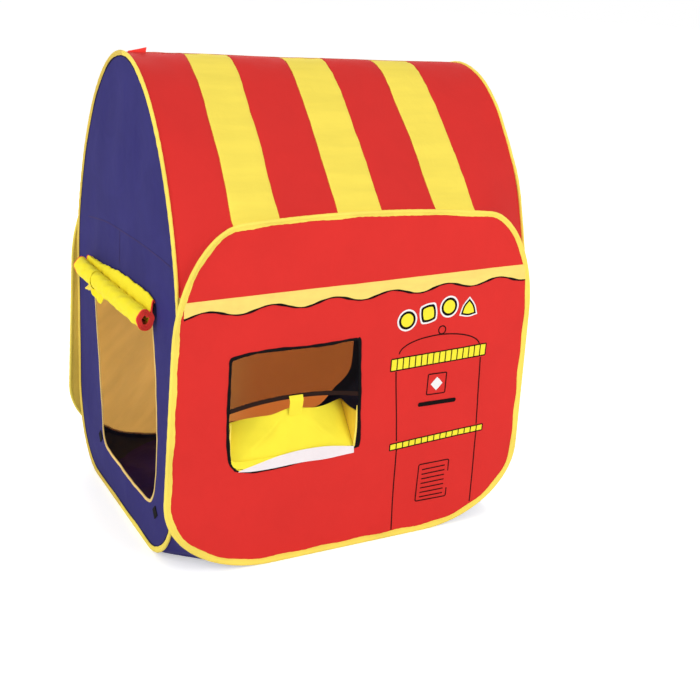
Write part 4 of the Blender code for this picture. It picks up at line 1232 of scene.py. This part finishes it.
def rolled_door():
    """One long spiral of cloth, swept from the front end to the back with its seam puckered."""
    line = roll_line()
    run = run_along(line)
    normal = left_of(np.gradient(line, axis=0))
    away = line - ROLL_CENTRE
    angle = np.arctan2(away[:, 1], away[:, 0])
    radial = away / np.linalg.norm(away, axis=1)[:, None]
    hang = smooth_step(run / 0.030)
    ripples = Waves(51, 1.4, 8)
    front = SEAM_FRONT + (ROLL_FRONT - SEAM_FRONT) * hang
    back = SEAM_BACK + (ROLL_BACK - SEAM_BACK) * hang
    stations = 110
    surfaces = []
    for station in np.linspace(0.0, 1.0, stations):
        across = front + (back - front) * station
        sag = 0.003 * (4 * station * (1 - station) - 1) + ROLL_TILT * station
        middle = math.sin(math.pi * min(1.0, 0.04 + station * 0.92)) ** 0.4
        swell = 0.0010 * ripples(angle * 1.5, station * 16) * hang
        swell += 0.0007 * np.sin(angle * 5 + station * 60) * middle * hang
        edge = np.exp(-((run / 0.009) ** 2)) * middle
        frill = edge * (0.0020 + 0.0014 * math.sin(station * 37) + 0.0011 * math.sin(station * 83))
        pleat = edge * (0.0010 * math.sin(station * 61) + 0.0008 * math.sin(station * 140))
        press = 0.008 * (1 - smooth_step(station / 0.10)) + 0.021 * smooth_step((station - 0.40) / 0.60)
        drop = press * np.exp(-((run / 0.016) ** 2))
        centre_line = line + radial * swell[:, None] + np.c_[np.abs(pleat), frill - drop]
        near_end = max(0.0, 1.0 - min(station, 1.0 - station) * (stations - 1) / 4)
        thick = (ROLL_CLOTH / 2 * (1 + 0.4 * near_end * hang))[:, None]
        both = [centre_line + normal * thick, centre_line - normal * thick]
        surfaces.append([np.stack([-END_X - points[:, 0], across, points[:, 1] - sag], axis=-1)
                         for points in both])
    columns = len(line)
    verts, faces, kinds = shell(*np.stack(surfaces, axis=1), grid_faces(stations, columns))
    for number, face in enumerate(faces):
        rows = [(point % (stations * columns)) // columns for point in face]
        if min(point % columns for point in face) > columns - 26 and max(rows) > 1:
            kinds[number] = 3
        elif max(rows) <= 1 or min(rows) >= stations - 2:
            kinds[number] = 2
    made = piece("rolled_door_cloth", (verts, faces, kinds), None,
                 [ROLL_YELLOW, ROLL_YELLOW, RED_EDGE, SEAM_ORANGE])
    for kind, face in zip(kinds, made.data.polygons):
        if kind == 2 and abs(face.normal.y) > 0.8:
            face.use_smooth = False
    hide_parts("rolled_door")
    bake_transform(made)


def roll_tie():
    """The tape round the roll, and its two loose ends that lie along the roll's underside."""
    line = roll_line()[20:48]
    away = line - ROLL_CENTRE
    line = line + away / np.linalg.norm(away, axis=1)[:, None] * (ROLL_CLOTH / 2 + 0.0012)
    line = smoothed(line * (-1, 1) - (END_X, ROLL_TILT * 0.66), 60)
    centre = 0.100 + 0.002 * np.sin(np.linspace(0, 9, len(line)))
    tape = folded_tape(line, 0.0060, centre, 0.0006, 1, 7)
    made = piece("roll_tie_cloth", tape, "rolled_door", [ROLL_YELLOW])
    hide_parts("roll_tie")
    share = np.linspace(0, 1, 24)[:, None]
    level = np.linspace(-1, 1, 6)[None, :]
    out = ROLL_CENTRE[0] + 0.010 - 0.004 * level + 0.0012 * np.sin(share * 11 + level)
    for name, material, points, half_first, half_last in (
            ("long", ROLL_YELLOW, [(0.103, 0.5000), (0.080, 0.4965), (0.050, 0.4945), (0.026, 0.4960)],
             0.0045, 0.0085),
            ("short", PALE, [(0.104, 0.4990), (0.125, 0.4945), (0.146, 0.4935)], 0.0030, 0.0035)):
        path = smoothed(points, 24)
        height = path[:, 1:] + (half_first + (half_last - half_first) * share) * level
        grid = np.stack([-END_X - out, path[:, :1] + 0.0 * level, height], axis=-1)
        solid = grid_shell(grid, (1.0, 0.0, 0.5))
        piece(f"roll_tie_{name}_end", solid, "rolled_door", [material])


def ridge_loop():
    """A folded tape that stands along the left end of the ridge."""
    share = np.linspace(0, 1, 14)[:, None]
    level = np.linspace(0, 1, 5)[None, :]
    across = -END_X + 0.010 + 0.037 * share + 0.002 * level
    height = END_HEIGHT - 0.0040 + (0.0030 + 0.0078 * share ** 1.1) * level
    thick = 0.0019 * np.sin(math.pi * (0.15 + 0.7 * level)) * (0.55 + 0.45 * share)
    sides = [np.stack([across, side * thick - 0.0006, height], axis=-1) for side in (-1, 1)]
    made = piece("ridge_loop_tape", shell(*sides, grid_faces(14, 5)), "left_end", [RED_EDGE])
    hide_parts("ridge_loop")


# Studio
def seen_directly(tree):
    """A factor of 1 for what the camera, a gloss or a clear surface sees."""
    path = node(tree, "ShaderNodeLightPath")
    first = node(tree, "ShaderNodeMath", {0: path.outputs["Is Camera Ray"], 1: path.outputs["Is Glossy Ray"]},
                 operation="MAXIMUM")
    second = node(tree, "ShaderNodeMath", {0: first.outputs[0], 1: path.outputs["Is Transmission Ray"]},
                  operation="MAXIMUM")
    return second.outputs[0]


def soft_lamp(name, place, power):
    data = bpy.data.lights.new(name, "AREA")
    data.shape = "DISK"
    data.size = 2.6
    data.energy = power
    lamp = bpy.data.objects.new(name, data)
    bpy.context.scene.collection.objects.link(lamp)
    lamp.location = place
    lamp.rotation_euler = (Vector((0.0, 0.0, 0.4)) - Vector(place)).to_track_quat("-Z", "Y").to_euler()


def studio():
    """A white world, a white floor that keeps the shadow, and three soft lamps."""
    white = (1.0, 1.0, 1.0, 1.0)
    world = bpy.data.worlds.new("studio")
    world.use_nodes = True
    tree = world.node_tree
    sky = tree.nodes["Background"]
    fill(tree, sky, {"Color": white, "Strength": 0.66})
    seen = node(tree, "ShaderNodeBackground", {"Color": white, "Strength": 1.0})
    pick = node(tree, "ShaderNodeMixShader", {0: seen_directly(tree), 1: sky.outputs[0], 2: seen.outputs[0]})
    fill(tree, tree.nodes["World Output"], {"Surface": pick.outputs[0]})
    bpy.context.scene.world = world
    mesh = bpy.data.meshes.new("studio_floor")
    reach = 40.0
    corners = [(-reach, -reach, 0), (reach, -reach, 0), (reach, reach, 0), (-reach, reach, 0)]
    mesh.from_pydata(corners, [], [(0, 1, 2, 3)])
    floor = bpy.data.objects.new("studio_floor", mesh)
    bpy.context.scene.collection.objects.link(floor)
    made, tree, shader = new_material("studio_floor")
    glow = node(tree, "ShaderNodeMath", {0: seen_directly(tree), 1: 0.44}, operation="MULTIPLY")
    fill(tree, shader, {"Base Color": (0.88, 0.88, 0.88, 1.0), "Roughness": 0.9, "Specular IOR Level": 0.0,
                        "Emission Color": white, "Emission Strength": glow.outputs[0]})
    mesh.materials.append(made)
    soft_lamp("key", (1.2, -3.8, 2.6), 74.0)
    soft_lamp("fill", (-3.8, -1.0, 2.2), 66.0)
    soft_lamp("back", (0.8, 3.8, 2.2), 80.0)


def build():
    aim_camera()
    window_hole = inset(window_outline(160), TAPE_REACH)
    panel("front", FRONT_WIRE, [window_hole], on_front, "front_frame", RED, RED_BACK)
    panel("back", FRONT_WIRE, [], on_back, "back_frame", BACK_YELLOW, BACK_INSIDE_SHADE)
    panel("left", END_WIRE, [DOOR_LOOP], on_left, "left_end", BLUE, BLUE_BACK_SHADE)
    panel("right", END_WIRE, [], on_right, "right_end", BLUE, BLUE_BACK_SHADE)
    sleeve("front", FRONT_WIRE, on_front, "front_frame", 11, FRONT_SLEEVE)
    sleeve("back", FRONT_WIRE, on_back, "back_frame", 12, FRONT_SLEEVE)
    sleeve("left", END_WIRE, on_left, "left_end", 13, END_SLEEVE)
    sleeve("right", END_WIRE, on_right, "right_end", 14, END_SLEEVE)
    back_shade_facings()
    end_edge_shade("left", on_left, "left_end")
    end_edge_shade("right", on_right, "right_end")
    roof_half("front", -1, "front_frame")
    ridge_seam()
    roof_half("back", 1, "back_frame")
    for name, side_y, body in (("front", -1, "front_frame"), ("back", 1, "back_frame")):
        for end, side_x in (("left", -1), ("right", 1)):
            corner_gore(f"{name}_{end}_gore", side_x, side_y, body)
    floor_cloth()
    valance()
    letter_box_print()
    badge_prints()
    window()
    hatch()
    gusset("left", -1)
    gusset("right", 1)
    sill_strips()
    door_trims()
    rolled_door()
    roll_tie()
    ridge_loop()
    for side in ("front", "left", "right", "back"):
        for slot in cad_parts[side + "_wire_hoop"].material_slots:
            slot.material = STEEL
    studio()
    bpy.context.scene.view_settings.view_transform = "Standard"


build()
